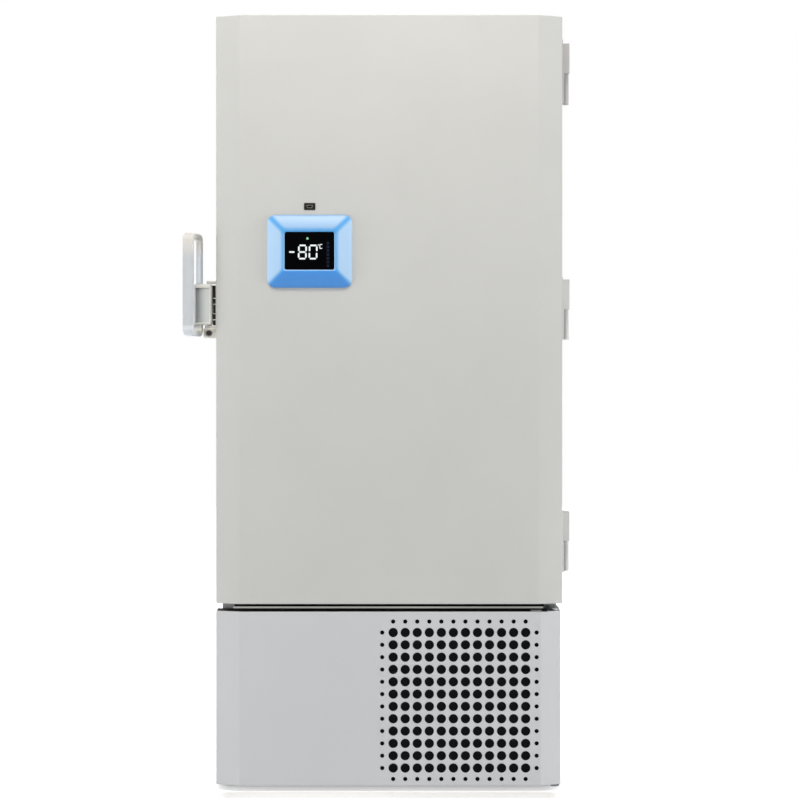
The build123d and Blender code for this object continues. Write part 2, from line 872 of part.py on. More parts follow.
def access_door_front():
    """The access door's folded front sheet, with the perforated air inlet."""
    edges = (access_left, access_right, facet_width, access_right_facet)
    bend = polygon(*front_corners(*edges), *reversed(front_corners(*edges, setback=sheet)))
    plate = upright(bend, access_bottom, access_top)
    holes = extrude(
        Plane(origin=(0, door_front + 2 * sheet, 0), x_dir=(1, 0, 0), z_dir=(0, -1, 0))
        * Sketch(perforations()),
        3 * sheet,
    )
    return plate - holes


def access_door_frame():
    """The folded frame behind the front sheet: two sides and two flanges, drilled for the hinge pins."""
    sheet_back = door_front + facet_depth + sheet
    corners = front_corners(access_left, access_right, facet_width, access_right_facet, sheet)
    flange_back = door_front + access_flange
    inner_right = access_right - access_wall
    flange_plan = polygon(*corners, (access_right, flange_back), (access_left, flange_back))
    frame = Part()
    for left in (access_left, inner_right):
        frame += box_between(
            (left, sheet_back, access_bottom), (left + access_wall, access_back, access_top)
        )
    for bottom in (access_bottom, access_top - access_wall):
        frame += upright(flange_plan, bottom, bottom + access_wall)
    bore = Pos(access_pivot_x, access_pivot_y) * bore_flats(access_pin_radius + running_clearance)
    return frame - upright(bore, access_bottom, access_top)


def access_hinge_bracket(door_edge, inward):
    """A plate from the cabinet forward to the access door's pivot, with its pin and an upright fixing leg.

    It lies just outside the door's upper or lower edge, and inward points from there to the door's middle.
    """
    left = access_pivot_x - access_bracket_width / 2
    arm = rectangle(left, left + access_bracket_width, access_pivot_y, front) + Pos(
        access_pivot_x, access_pivot_y
    ) * flats(access_bracket_width / 2)
    near = door_edge - inward * access_bracket_gap
    far = near - inward * access_bracket
    plate = upright(arm, *sorted((near, far)))
    pin_low, pin_high = sorted((far, door_edge + inward * access_pin_reach))
    pin = upright(Pos(access_pivot_x, access_pivot_y) * Circle(access_pin_radius), pin_low, pin_high)
    leg_low, leg_high = sorted((far, door_edge + inward * access_bracket_leg))
    leg = box_between((left, front - access_bracket, leg_low), (left + access_bracket_width, front, leg_high))
    return plate + pin + leg


def air_filter():
    """The filter behind the perforations: a plastic frame and a pad of open foam."""
    half_x = hole_pitch_x * (hole_columns - 1) / 2 + edge_hole_offset + filter_margin
    half_z = hole_pitch_z * (hole_rows - 1) / 2 + edge_hole_offset + filter_margin
    inner = rectangle(grille_x - half_x, grille_x + half_x, grille_z - half_z, grille_z + half_z)
    outer = offset(inner, amount=filter_frame, kind=Kind.INTERSECTION)
    near = door_front + sheet
    frame = slab(outer - inner, near, near + filter_depth)
    pad = slab(inner, near + filter_depth - filter_foam_depth, near + filter_depth)
    return [*frame.solids(), *pad.solids()]


def base_pan():
    """The compartment's floor, a steel tray with upturned edges."""
    side = half_width - sheet
    tray = box_between((-side, front + sheet, base_height), (side, back - sheet, base_height + base_flange))
    inside = box_between(
        (-side + base_sheet, front + sheet + base_sheet, base_top),
        (side - base_sheet, back - sheet - base_sheet, base_height + base_flange),
    )
    return tray - inside


def rear_grille_panel():
    """The lower back sheet, slotted for the cooling air, with holes for the power inlet and the switch."""
    edge = half_width - side_flange + back_overlap
    panel = rectangle(-edge, edge, base_height, box_bottom)
    for n in range(rear_slots):
        slot = Pos(rear_slots_from_side - half_width, base_height + rear_slots_rise + rear_slot_pitch * n)
        panel -= slot * Rectangle(rear_slot_width, rear_slot_height)
    panel -= Pos(inlet_x, inlet_z) * Rectangle(inlet_width, inlet_height)
    panel -= Pos(inlet_x, switch_z) * Rectangle(
        switch_width + 2 * switch_frame, switch_height + 2 * switch_frame
    )
    return slab(panel, back, back + sheet)


def compressor(place):
    """A hermetic compressor: an oval can with a sloping shoulder, on two foot rails."""
    x, y = place
    half = compressor_width / 2
    oval = chamfer(Rectangle(compressor_length, compressor_width).vertices(), compressor_corner)
    lower = base_top + compressor_foot
    shoulder = lower + compressor_body - compressor_dome
    can = upright(Pos(x, y) * oval, lower, shoulder)
    can += extrude(Pos(x, y, shoulder) * oval, compressor_dome, taper=compressor_taper)
    rails = Part()
    for side in (-1, 1):
        centre = y + side * (half - compressor_foot_inset)
        rails += box_between(
            (x - half, centre - compressor_foot, base_top), (x + half, centre + compressor_foot, lower)
        )
    return can + rails


def condenser_coil():
    """The condenser: end plates and a bank of upright fins between them on a core."""
    left = condenser_x - condenser_width / 2
    right = condenser_x + condenser_width / 2
    rear = condenser_y + condenser_depth
    top = base_top + condenser_height
    core_inset = condenser_depth / 4
    core = box_between((left, condenser_y + core_inset, base_top), (right, rear - core_inset, top))
    pitch = (condenser_width - 2 * condenser_end_plate) / (condenser_fins + 1)
    coil = core
    for n in range(condenser_fins):
        x = left + condenser_end_plate + pitch * (n + 1) - fin_thickness / 2
        coil += box_between((x, condenser_y, base_top), (x + fin_thickness, rear, top))
    for x in (left, right - condenser_end_plate):
        coil += box_between((x, condenser_y, base_top), (x + condenser_end_plate, rear, top))
    return coil


fan_z = base_top + condenser_height / 2
shroud_front = condenser_y + condenser_depth
shroud_back = shroud_front + shroud_depth
fan_y = shroud_front + (shroud_depth - fan_hub_depth) / 2 + fan_hub_depth / 2


def fan_shroud():
    """The plate behind the condenser with a round mouth for the fan."""
    outline = rectangle(
        condenser_x - condenser_width / 2,
        condenser_x + condenser_width / 2,
        base_top,
        base_top + condenser_height,
    )
    mouth = Pos(condenser_x, fan_z) * RegularPolygon(fan_radius + fan_tip_gap, shroud_sides)
    return slab(outline - mouth, shroud_front, shroud_back)


def fan_blade():
    """The fan: a hub with a bore for the motor's shaft and pitched blades."""
    start = (condenser_x, fan_y - fan_hub_depth / 2, fan_z)
    fan = flat_sided_rod(fan_hub_radius, start, (0, 1, 0), fan_hub_depth)
    length = fan_radius - motor_shaft_radius - fan_blade_root
    for n in range(fan_blades):
        vane = Pos(fan_radius - length / 2, 0, 0) * Rot(90 - fan_pitch, 0, 0) * Box(
            length, fan_chord, fan_blade_thickness
        )
        fan += Pos(condenser_x, fan_y, fan_z) * Rot(0, 360 / fan_blades * n, 0) * vane
    return fan - rod(motor_shaft_radius + running_clearance, start, (0, 1, 0), fan_hub_depth)


def fan_motor():
    """The fan's motor, its shaft, and the bar that holds it to the shroud."""
    start = shroud_back + motor_gap
    body = flat_sided_rod(motor_radius, (condenser_x, start, fan_z), (0, 1, 0), motor_depth)
    nose = (condenser_x, fan_y - fan_hub_depth / 2, fan_z)
    shaft = flat_sided_rod(motor_shaft_radius, nose, (0, 1, 0), start - nose[1])
    reach = fan_radius + fan_tip_gap + motor_arm
    bar = box_between(
        (condenser_x - reach, start, fan_z - motor_arm),
        (condenser_x + reach, start + motor_arm, fan_z + motor_arm),
    )
    feet = Part()
    for side in (-1, 1):
        centre = condenser_x + side * (reach - motor_arm / 2)
        feet += box_between(
            (centre - motor_arm / 2, shroud_back, fan_z - motor_arm),
            (centre + motor_arm / 2, start, fan_z + motor_arm),
        )
    return body + shaft + bar + feet


def refrigerant_circuit():
    """Heat exchanger, filter drier and the lines between the compressors and the condenser."""
    x, y = inside_place(exchanger_place)
    wide, deep = exchanger_size[:2]
    exchanger = chamfer(placed_box(exchanger_size, x, y, base_top).edges().filter_by(Axis.Z), exchanger_edge)
    dx, dy, dz = condenser_left, back - drier_from_back, base_top + drier_rise
    drier = rod(drier_radius, (dx, dy, dz), (-1, 0, 0), drier_length)
    ring = RegularPolygon(line_radius, 6)

    def line(*points):
        path = Polyline(*points)
        return sweep(Plane(origin=path @ 0, z_dir=path % 0) * ring, path=path, transition=Transition.RIGHT)

    front_can, rear_can = compressor_places
    side = front_can[0] + compressor_length / 2
    link_x = side + line_stand_off
    outlet_z = base_top + line_outlet
    high_z = base_top + line_rise
    inlet_y = condenser_y + condenser_depth / 2
    discharge = line(
        (side, front_can[1], outlet_z),
        (link_x, front_can[1], outlet_z),
        (link_x, front_can[1], high_z),
        (link_x, inlet_y, high_z),
        (condenser_x - condenser_width / 2, inlet_y, high_z),
    )
    drier_end = dx - drier_length
    liquid = line(
        (side, rear_can[1], outlet_z),
        (link_x, rear_can[1], outlet_z),
        (link_x, dy, dz),
        (drier_end, dy, dz),
    )
    feed = line((dx, dy, dz), (x + wide / 2, dy, dz), (x + wide / 2, y + deep, dz))
    return [*exchanger.solids(), *drier.solids(), *discharge.solids(), *liquid.solids(), *feed.solids()]


def inside_place(place):
    """A place in the compartment, from its distances to the condenser's left edge and to the cabinet's back."""
    from_condenser, from_back = place
    return condenser_left + from_condenser, back - from_back


def placed_box(size, x, y, z):
    """A cased unit by its size and its low corner."""
    return box_between((x, y, z), (x + size[0], y + size[1], z + size[2]))


def control_box():
    """The case of the control electronics, hung on the compartment's left wall."""
    case = placed_box(
        control_box_size, -half_width + sheet, back - control_box_from_back, base_top + control_box_rise
    )
    return chamfer(case.edges().filter_by(Axis.Z).sort_by(Axis.X)[-2:], control_box_edge)


def backup_battery():
    """The sealed battery that keeps the display alive, on the compartment's floor."""
    x, y = inside_place(battery_place)
    case = placed_box(battery_size, x, y, base_top)
    for tab_x in (x + terminal_inset, x + battery_size[0] - terminal_inset - terminal_size[0]):
        case += placed_box(terminal_size, tab_x, y + terminal_inset, base_top + battery_size[2])
    return case


def wall_bumper(x, z):
    """A tapered spacer that keeps the back off the wall."""
    foot = back + sheet
    return sloped_block(x, z, bumper_size, bumper_size, bumper_slope, foot + bumper_depth, foot)


def access_port_sleeve():
    """The lined port through the back wall, with an outer flange."""
    inner_end = chamber_back
    start = (sleeve_x, inner_end, sleeve_z)
    sleeve = sleeve_hole(inner_end, back + sheet)
    side = sleeve_bore + 2 * (sleeve_wall + sleeve_flange)
    plate = Pos(sleeve_x, sleeve_z) * Rectangle(side, side)
    flange = slab(plate, back + sheet, back + sheet + sleeve_flange_depth)
    length = back + sheet + sleeve_flange_depth - inner_end
    return sleeve + flange - rod(sleeve_bore / 2, start, (0, 1, 0), length)


def power_inlet():
    """The appliance inlet with its three blades, and the switch's frame, set in the lower back sheet."""
    face = back + sheet + inlet_flange
    centre = Pos(inlet_x, inlet_z)
    flange, wall = 2 * inlet_flange, 2 * inlet_wall
    inlet = slab(centre * Rectangle(inlet_width, inlet_height), face - inlet_depth, face)
    inlet += slab(centre * Rectangle(inlet_width + flange, inlet_height + flange), back + sheet, face)
    inlet -= slab(centre * Rectangle(inlet_width - wall, inlet_height - wall), face - inlet_cavity, face)
    thick, tall = blade_size
    for x, z in (
        (inlet_x - blade_spacing, inlet_z - blade_drop),
        (inlet_x, inlet_z + blade_drop),
        (inlet_x + blade_spacing, inlet_z - blade_drop),
    ):
        inlet += box_between(
            (x - thick / 2, face - inlet_cavity, z - tall / 2),
            (x + thick / 2, face - inlet_cavity + blade_length, z + tall / 2),
        )
    outer = Pos(inlet_x, switch_z) * Rectangle(
        switch_width + 2 * switch_frame, switch_height + 2 * switch_frame
    )
    hole = Pos(inlet_x, switch_z) * Rectangle(switch_width, switch_height)
    surround = slab(outer - hole, face - inlet_depth / 2, face)
    bore = switch_pin(switch_width + 2 * switch_frame, bore_flats(switch_pin_radius + running_clearance))
    return [*inlet.solids(), *(surround - bore).solids()]


switch_axis_y = back + sheet + inlet_flange - switch_depth / 2


def switch_pin(length, outline):
    """The pin that the rocker turns on, or its bore, across the switch."""
    return across(Pos(switch_axis_y, switch_z) * outline, inlet_x - length / 2, inlet_x + length / 2)


def power_switch():
    """The rocker with a shallow vee in its face, tilted to on, and the stubs of its pin."""
    wide = switch_width / 2 - switch_play
    reach = switch_height / 2 - 4 * switch_play
    rise = reach * sin(radians(switch_tilt))
    profile = polygon(
        (-switch_depth / 2, -reach / 2),
        (switch_depth / 2 + rise / 2, -reach),
        (switch_depth / 2 - rise / 2, 0),
        (switch_depth / 2 + rise / 2, reach),
        (-switch_depth / 2, reach / 2),
    )
    middle = Pos(0, switch_axis_y, switch_z)
    rocker = middle * Rot(switch_tilt, 0, 0) * across(profile, inlet_x - wide, inlet_x + wide)
    return rocker + switch_pin(switch_width + switch_frame, flats(switch_pin_radius))


def caster_top(x, y):
    """A caster's fixed top plate, with the race that the fork turns in."""
    plate = box_between(
        (x - caster_plate_size / 2, y - caster_plate_size / 2, base_height - caster_plate),
        (x + caster_plate_size / 2, y + caster_plate_size / 2, base_height),
    )
    race_bottom = base_height - caster_plate - race_height
    race = flat_sided_rod(race_radius, (x, y, race_bottom), (0, 0, 1), race_height)
    bore = flat_sided_bore(king_pin_radius + running_clearance, (x, y, race_bottom), (0, 0, 1), race_height)
    return plate + race - bore


fork_top = base_height - caster_plate - race_height - swivel_gap
fork_inner = wheel_width / 2 + wheel_play
fork_outer = fork_inner + fork_wall
brake_pin_y = caster_trail + brake_pin_distance * cos(radians(brake_pin_angle))
brake_pin_z = wheel_radius + brake_pin_distance * sin(radians(brake_pin_angle))


def brake_pin(x, y, half_length, clearance=0):
    """The pin of a caster's brake pedal."""
    start = (x - half_length, y + brake_pin_y, brake_pin_z)
    if clearance:
        return flat_sided_bore(brake_pin_radius + clearance, start, (1, 0, 0), 2 * half_length)
    return flat_sided_rod(brake_pin_radius, start, (1, 0, 0), 2 * half_length)


def caster_fork(x, y, braked):
    """A caster's fork, with its king pin and axle; the wheel trails behind the pin."""
    axle_y = y + caster_trail
    leg = fork_leg_radius
    ear = 2 * brake_eye
    side = polygon(
        (y - race_radius, fork_top),
        (y + race_radius, fork_top),
        (y + brake_pin_y + ear / 2, brake_pin_z + ear / 2),
        (y + brake_pin_y + ear / 2, brake_pin_z - ear / 2),
        (axle_y + leg, wheel_radius - leg / 2),
        (axle_y + leg / 2, wheel_radius - leg),
        (axle_y - leg / 2, wheel_radius - leg),
        (axle_y - leg, wheel_radius - leg / 2),
        (y - race_radius, fork_top - 2 * fork_crown),
    )
    fork = across(side, x - fork_outer, x + fork_outer)
    space = rectangle(y - 2 * race_radius, y + 2 * brake_pin_y, 0, fork_top - fork_crown)
    fork -= across(space, x - fork_inner, x + fork_inner)
    fork += flat_sided_rod(king_pin_radius, (x, y, fork_top), (0, 0, 1), race_height + swivel_gap)
    fork += flat_sided_rod(axle_radius, (x - fork_inner, axle_y, wheel_radius), (1, 0, 0), 2 * fork_inner)
    return fork - brake_pin(x, y, 2 * fork_outer, running_clearance) if braked else fork


def caster_wheel(x, y):
    """A caster's wheel, standing on one of its flats, and its bore."""
    tread = RegularPolygon(wheel_radius, wheel_sides, major_radius=False, rotation=180 / wheel_sides)
    outline = tread - bore_flats(axle_radius + running_clearance)
    return across(Pos(y + caster_trail, wheel_radius) * outline, x - wheel_width / 2, x + wheel_width / 2)


def caster_brake(x, y):
    """A foot pedal that turns on its pin in the fork's rear ears."""
    half = fork_inner - brake_play
    eye = RegularPolygon(brake_eye, 6)
    pedal = Rot(0, 0, brake_slope) * rectangle(0, brake_reach, brake_eye - brake_thickness, brake_eye)
    place = Pos(0, y + brake_pin_y, brake_pin_z)
    return place * across(eye + pedal, x - half, x + half) + brake_pin(x, y, fork_outer)


def keep(node, *shapes):
    """Writes one node's solids."""
    solids = [solid for shape in shapes for solid in shape.solids()]
    export_step(solids[0] if len(solids) == 1 else Compound(children=solids), f"parts/{node}.step")


os.makedirs("parts", exist_ok=True)

keep("side_panel_left", side_panel(-1))
keep("side_panel_right", side_panel(1))
keep("top_panel", top_panel())
keep("back_panel", back_panel())
keep("foam_insulation", foam_insulation())
keep("inner_liner", inner_liner())
keep("breaker_frame", breaker_frame())
keep("evaporator_coil", evaporator_coil())
keep("cabinet_floor_plate", cabinet_floor_plate())
keep("front_sill", front_sill())
keep("shelves", *[shelf(top) for top in shelf_heights])
keep(
    "shelf_standards",
    *[
        shelf_standard(side, y)
        for side in (-1, 1)
        for y in (shelf_front + standard_inset, shelf_back - standard_inset - standard_width)
    ],
)
for number in range(compartments):
    keep(f"inner_door_{number + 1}", inner_door(number))
inner_rod = flat_sided_rod(inner_rod_radius, (rod_x, rod_y, chamber_floor), (0, 0, 1), chamber_height)
keep("hinge_pins", *[hinge_pin(centre) for centre in hinge_centres], inner_rod)
keep("hinge_cabinet_leaves", *[hinge_cabinet_leaf(centre) for centre in hinge_centres])
keep("hinge_door_leaves", *[hinge_door_leaf(centre) for centre in hinge_centres])

keep("door_outer_skin", door_outer_skin())
keep("door_foam", door_foam())
keep("door_inner_panel", door_inner_panel())
keep("door_gasket", door_gasket())
keep("display_bezel", display_bezel())
keep("display_screen", display_screen(screen_recess))
keep("data_port", data_port())
keep("latch_base", latch_base())
keep("latch_pin", latch_pin())
keep("lock_plug", lock_plug())
keep("door_handle", door_handle(), latch_hook())
keep("latch_strike", latch_strike())

keep("access_door_front", access_door_front())
keep("access_door_frame", access_door_frame())
keep("air_filter", *air_filter())
keep("access_hinge_brackets", access_hinge_bracket(access_top, -1), access_hinge_bracket(access_bottom, 1))

keep("base_pan", base_pan())
keep("rear_grille_panel", rear_grille_panel())
keep("compressors", *[compressor(place) for place in compressor_places])
keep("condenser_coil", condenser_coil())
keep("fan_shroud", fan_shroud())
keep("fan_motor", fan_motor())
keep("fan_blade", fan_blade())
keep("refrigerant_circuit", *refrigerant_circuit())
keep("control_box", control_box())
keep("backup_battery", backup_battery())
bumper_x = half_width - bumper_inset
bumper_heights = (box_bottom + lower_bumper_rise, cabinet_top - upper_bumper_drop)
keep("wall_bumpers", *[wall_bumper(x, z) for x in (-bumper_x, bumper_x) for z in bumper_heights])
keep("access_port_sleeve", access_port_sleeve())
keep("power_inlet", *power_inlet())
keep("power_switch", power_switch())

caster_x, caster_y = half_width - caster_inset_x, back - caster_inset_y
caster_places = [(side * caster_x, depth * caster_y) for depth in (-1, 1) for side in (-1, 1)]
caster_names = ("front_left", "front_right", "rear_left", "rear_right")
keep("caster_plates", *[caster_top(x, y) for x, y in caster_places])
for name, (x, y) in zip(caster_names, caster_places):
    braked = y < 0
    keep(f"caster_fork_{name}", caster_fork(x, y, braked))
    keep(f"caster_wheel_{name}", caster_wheel(x, y))
    if braked:
        keep(f"caster_brake_{name}", caster_brake(x, y))
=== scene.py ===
import json
import math

import bmesh
import bpy
from mathutils import Matrix, Vector

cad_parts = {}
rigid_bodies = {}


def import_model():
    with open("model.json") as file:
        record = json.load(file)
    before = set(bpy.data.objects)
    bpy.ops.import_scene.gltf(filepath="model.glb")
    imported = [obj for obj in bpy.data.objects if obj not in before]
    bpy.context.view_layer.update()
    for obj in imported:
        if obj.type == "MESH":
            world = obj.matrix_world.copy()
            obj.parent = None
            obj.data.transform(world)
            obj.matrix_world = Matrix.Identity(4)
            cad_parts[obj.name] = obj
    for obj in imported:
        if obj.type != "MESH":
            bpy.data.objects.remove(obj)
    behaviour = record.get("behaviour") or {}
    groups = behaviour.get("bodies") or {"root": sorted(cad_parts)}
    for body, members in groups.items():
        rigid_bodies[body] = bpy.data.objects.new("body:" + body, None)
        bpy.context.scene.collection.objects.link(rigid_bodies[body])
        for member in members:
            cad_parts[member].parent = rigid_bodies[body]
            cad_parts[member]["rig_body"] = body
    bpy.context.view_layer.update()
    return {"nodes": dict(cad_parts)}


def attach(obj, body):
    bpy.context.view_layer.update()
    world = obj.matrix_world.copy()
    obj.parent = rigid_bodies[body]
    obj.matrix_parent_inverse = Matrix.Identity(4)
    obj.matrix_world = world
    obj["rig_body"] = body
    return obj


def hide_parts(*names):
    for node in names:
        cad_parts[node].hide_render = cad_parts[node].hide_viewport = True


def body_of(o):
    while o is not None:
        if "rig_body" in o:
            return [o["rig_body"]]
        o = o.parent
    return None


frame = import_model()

bpy.context.scene.view_settings.view_transform = "Standard"
collection = bpy.context.scene.collection
mm = 0.001  # sizes are in millimetres, except in view and studio, which are in metres
tiny = 1e-6  # metres


# small helpers

def linear(red, green, blue):  # an sRGB colour from 0 to 255, as the shaders want it
    def channel(value):
        value /= 255
        return value / 12.92 if value <= 0.04045 else ((value + 0.055) / 1.055) ** 2.4
    return (channel(red), channel(green), channel(blue), 1)


class Wire:  # a shader socket that adds Math nodes when it is used in an expression
    def __init__(self, finish, socket):
        self.finish = finish
        self.socket = socket

    def math(self, operation, first, second):
        return self.finish.node("ShaderNodeMath", {"operation": operation}, {0: first, 1: second})

    def __add__(self, other):
        return self.math("ADD", self, other)

    def __sub__(self, other):
        return self.math("SUBTRACT", self, other)

    def __rsub__(self, other):
        return self.math("SUBTRACT", other, self)

    def __mul__(self, other):
        return self.math("MULTIPLY", self, other)

    def greater(self, other):
        return self.math("MAXIMUM", self, other)

    def absolute(self):
        return self.math("ABSOLUTE", self, 0)


class NodeTree:  # the nodes of a material or a world
    def __init__(self, owner):
        owner.use_nodes = True
        self.nodes = owner.node_tree.nodes
        self.links = owner.node_tree.links

    def node(self, kind, settings=None, sockets=None, wanted=0):
        made = self.nodes.new(kind)
        for key, value in (settings or {}).items():
            setattr(made, key, value)
        for key, value in (sockets or {}).items():
            self.feed(made.inputs[key], value)
        return Wire(self, made.outputs[wanted])

    def feed(self, socket, value):
        if isinstance(value, Wire):
            self.links.new(value.socket, socket)
        else:
            socket.default_value = value


class Finish(NodeTree):  # a procedural material round one Principled shader
    def __init__(self, name, **constants):
        self.material = bpy.data.materials.new(name)
        super().__init__(self.material)
        self.shader = self.nodes["Principled BSDF"]
        for socket, value in constants.items():
            self.shader.inputs[socket.replace("_", " ")].default_value = value
        self.place = self.node("ShaderNodeTexCoord", wanted="Object")

    def set(self, socket, value):
        self.feed(self.shader.inputs[socket], value)

    def coordinate(self, axis):
        return self.node("ShaderNodeSeparateXYZ", None, {"Vector": self.place}, axis)

    def noise(self, scale, detail=2):
        sockets = {"Vector": self.place, "Scale": scale, "Detail": detail}
        return self.node("ShaderNodeTexNoise", None, sockets)

    def between(self, mask, low, high):  # a number that runs from low to high with a mask
        return self.node("ShaderNodeMapRange", None, {"Value": mask, "To Min": low, "To Max": high})

    def ramp(self, value, zero, one):  # a mask that is 0 at one value and 1 at the other, with soft ends
        return self.node(
            "ShaderNodeMapRange", {"interpolation_type": "SMOOTHSTEP"},
            {"Value": value, "From Min": zero, "From Max": one},
        )

    def zone(self, *slopes):  # a mask that is 1 past every slope, each an axis and its places of 0 and 1
        mask = None
        for axis, zero, one in slopes:
            slope = self.ramp(self.coordinate(axis), zero * mm, one * mm)
            mask = mask * slope if mask else slope
        return mask

    def blend(self, mask, one, other):  # a colour that runs from one to the other with a mask
        return self.node("ShaderNodeMix", {"data_type": "RGBA"}, {0: mask, 6: one, 7: other}, wanted=2)

    def grained(self, roughness, patches=(14, 4), grain=900, depth=0.02):
        # ends a finish with patches of roughness and a fine grain
        self.set("Roughness", self.between(self.noise(*patches), *roughness))
        height = self.noise(grain)
        self.set("Normal", self.node(
            "ShaderNodeBump", None, {"Height": height, "Strength": depth, "Distance": 1 * mm}
        ))
        return self.material


def cloudy(name, colour, spread=6, roughness=(0.35, 0.45), grain=900, depth=0.02, **constants):
    # a finish whose colour drifts a little over the surface
    finish = Finish(name, **constants)
    drift = finish.between(finish.noise(3.5, 3), -0.3, 1.3)
    darker = linear(*(max(0, c - spread) for c in colour))
    lighter = linear(*(min(255, c + spread / 3) for c in colour))
    finish.set("Base Color", finish.blend(drift, darker, lighter))
    return finish.grained(roughness, grain=grain, depth=depth)


def modifier(piece, kind, **settings):
    made = piece.modifiers.new(kind.title(), kind)
    for key, value in settings.items():
        setattr(made, key, value)


def addPiece(name, bm, finish, body, replaced=(), smooth=True, angle=35, sheet=None, flat=True):
    # sheet is a thickness, its side and whether corners keep it; flat keeps faces flat beside round edges
    mesh = bpy.data.meshes.new(name)
    bm.to_mesh(mesh)
    bm.free()
    piece = bpy.data.objects.new(name, mesh)
    collection.objects.link(piece)
    mesh.materials.clear()
    mesh.materials.append(finish)
    if smooth:
        mesh.polygons.foreach_set("use_smooth", [True] * len(mesh.polygons))
        mesh.set_sharp_from_angle(angle=math.radians(angle))
    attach(piece, body)
    if replaced:
        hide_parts(*replaced)
    if sheet:
        thickness, side, corners = sheet
        modifier(piece, "SOLIDIFY", thickness=thickness * mm, offset=side, use_even_offset=corners)
    if flat:
        modifier(piece, "WEIGHTED_NORMAL", mode="FACE_AREA", keep_sharp=True)


def vertsOf(geom):
    return [part for part in geom if isinstance(part, bmesh.types.BMVert)]


def edgesOf(verts):
    return list({edge for vert in verts for edge in vert.link_edges})


def sharpEdges(bm, degrees):
    limit = math.radians(degrees)
    return [edge for edge in bm.edges if len(edge.link_faces) == 2 and edge.calc_face_angle() > limit]


def isLevel(edge):
    return abs(edge.verts[0].co.z - edge.verts[1].co.z) < tiny


def bevel(bm, geom, width, segments=2, affect="EDGES"):
    bmesh.ops.bevel(
        bm, geom=list(geom), offset=width * mm, offset_type="OFFSET", segments=segments, profile=0.5,
        affect=affect, clamp_overlap=True, material=-1,
    )


def block(bm, low, high):  # a box between two corners, as its eight vertices
    low, high = ([c * mm for c in corner] for corner in (low, high))
    made = bmesh.ops.create_cube(bm, size=1)["verts"]
    bmesh.ops.scale(bm, vec=[b - a for a, b in zip(low, high)], verts=made)
    bmesh.ops.translate(bm, vec=[(a + b) / 2 for a, b in zip(low, high)], verts=made)
    return made


def softBlock(bm, low, high, radius, segments=2):
    bevel(bm, edgesOf(block(bm, low, high)), radius, segments)


def boxes(radius, *rows):  # rounded boxes, each from left to right, front to back and bottom to top
    bm = bmesh.new()
    for left, right, front, back, low, high in rows:
        softBlock(bm, (left, front, low), (right, back, high), radius)
    return bm


def drawOut(bm, face, vector):  # makes a solid of a face
    made = bmesh.ops.extrude_face_region(bm, geom=[face])["geom"]
    bmesh.ops.translate(bm, vec=[c * mm for c in vector], verts=vertsOf(made))
    bmesh.ops.recalc_face_normals(bm, faces=bm.faces)


def prism(points, vector):  # a flat outline drawn out
    bm = bmesh.new()
    drawOut(bm, bm.faces.new([bm.verts.new([c * mm for c in point]) for point in points]), vector)
    return bm


def roundedOutline(bm, width, height, corner, segments):  # a rounded rectangle, flat about the origin
    old = set(bm.faces)
    made = bmesh.ops.create_grid(bm, x_segments=1, y_segments=1, size=0.5)["verts"]
    bmesh.ops.scale(bm, vec=(width * mm, height * mm, 1), verts=made)
    bevel(bm, made, corner, segments, "VERTICES")
    return next(face for face in bm.faces if face not in old)


def standUp(bm, verts, place):  # turns what lies flat to the front and brings it to its place
    bmesh.ops.rotate(bm, cent=(0, 0, 0), matrix=Matrix.Rotation(math.radians(90), 3, "X"), verts=verts)
    bmesh.ops.translate(bm, vec=[c * mm for c in place], verts=verts)


def openRing(bm, face):  # takes a face away and gives its edges
    edges = face.edges[:]
    bmesh.ops.delete(bm, geom=[face], context="FACES_ONLY")
    return edges


def faceFront(bm):  # turns each face of an open skin or a flat mark towards the viewer
    for face in bm.faces:
        face.normal_update()
        if face.normal.y > 0:
            face.normal_flip()


def turned(bm, profile, centre, axis, steps):
    # a round piece: the profile gives radius and place along the axis, from one end to the other
    old = set(bm.verts)
    points = [bm.verts.new((radius * mm, 0, along * mm)) for radius, along in profile]
    edges = [bm.edges.new(pair) for pair in zip(points, points[1:])]
    bmesh.ops.spin(
        bm, geom=points + edges, cent=(0, 0, 0), axis=(0, 0, 1), angle=math.radians(360), steps=steps,
        use_merge=True, use_duplicate=False,
    )
    bmesh.ops.remove_doubles(bm, verts=[v for v in bm.verts if v not in old], dist=tiny)
    made = [v for v in bm.verts if v not in old]
    bmesh.ops.recalc_face_normals(bm, faces=list({f for v in made for f in v.link_faces}))
    turn = Vector((0, 0, 1)).rotation_difference(Vector(axis)).to_matrix()
    for vert in made:
        vert.co = turn @ vert.co + Vector(centre) * mm


def softCopy(node, name, slotName, width):  # a merged copy of a CAD node with its edges rounded
    source = frame["nodes"][node]
    bm = bmesh.new()
    bm.from_mesh(source.data)
    bmesh.ops.remove_doubles(bm, verts=bm.verts, dist=0.02 * mm)
    bmesh.ops.dissolve_limit(bm, angle_limit=math.radians(0.5), verts=bm.verts, edges=bm.edges)
    bevel(bm, sharpEdges(bm, 36), width)
    addPiece(name, bm, finishes[slotName], body_of(source)[0], [node], angle=50)


print("helpers ready")


# finishes

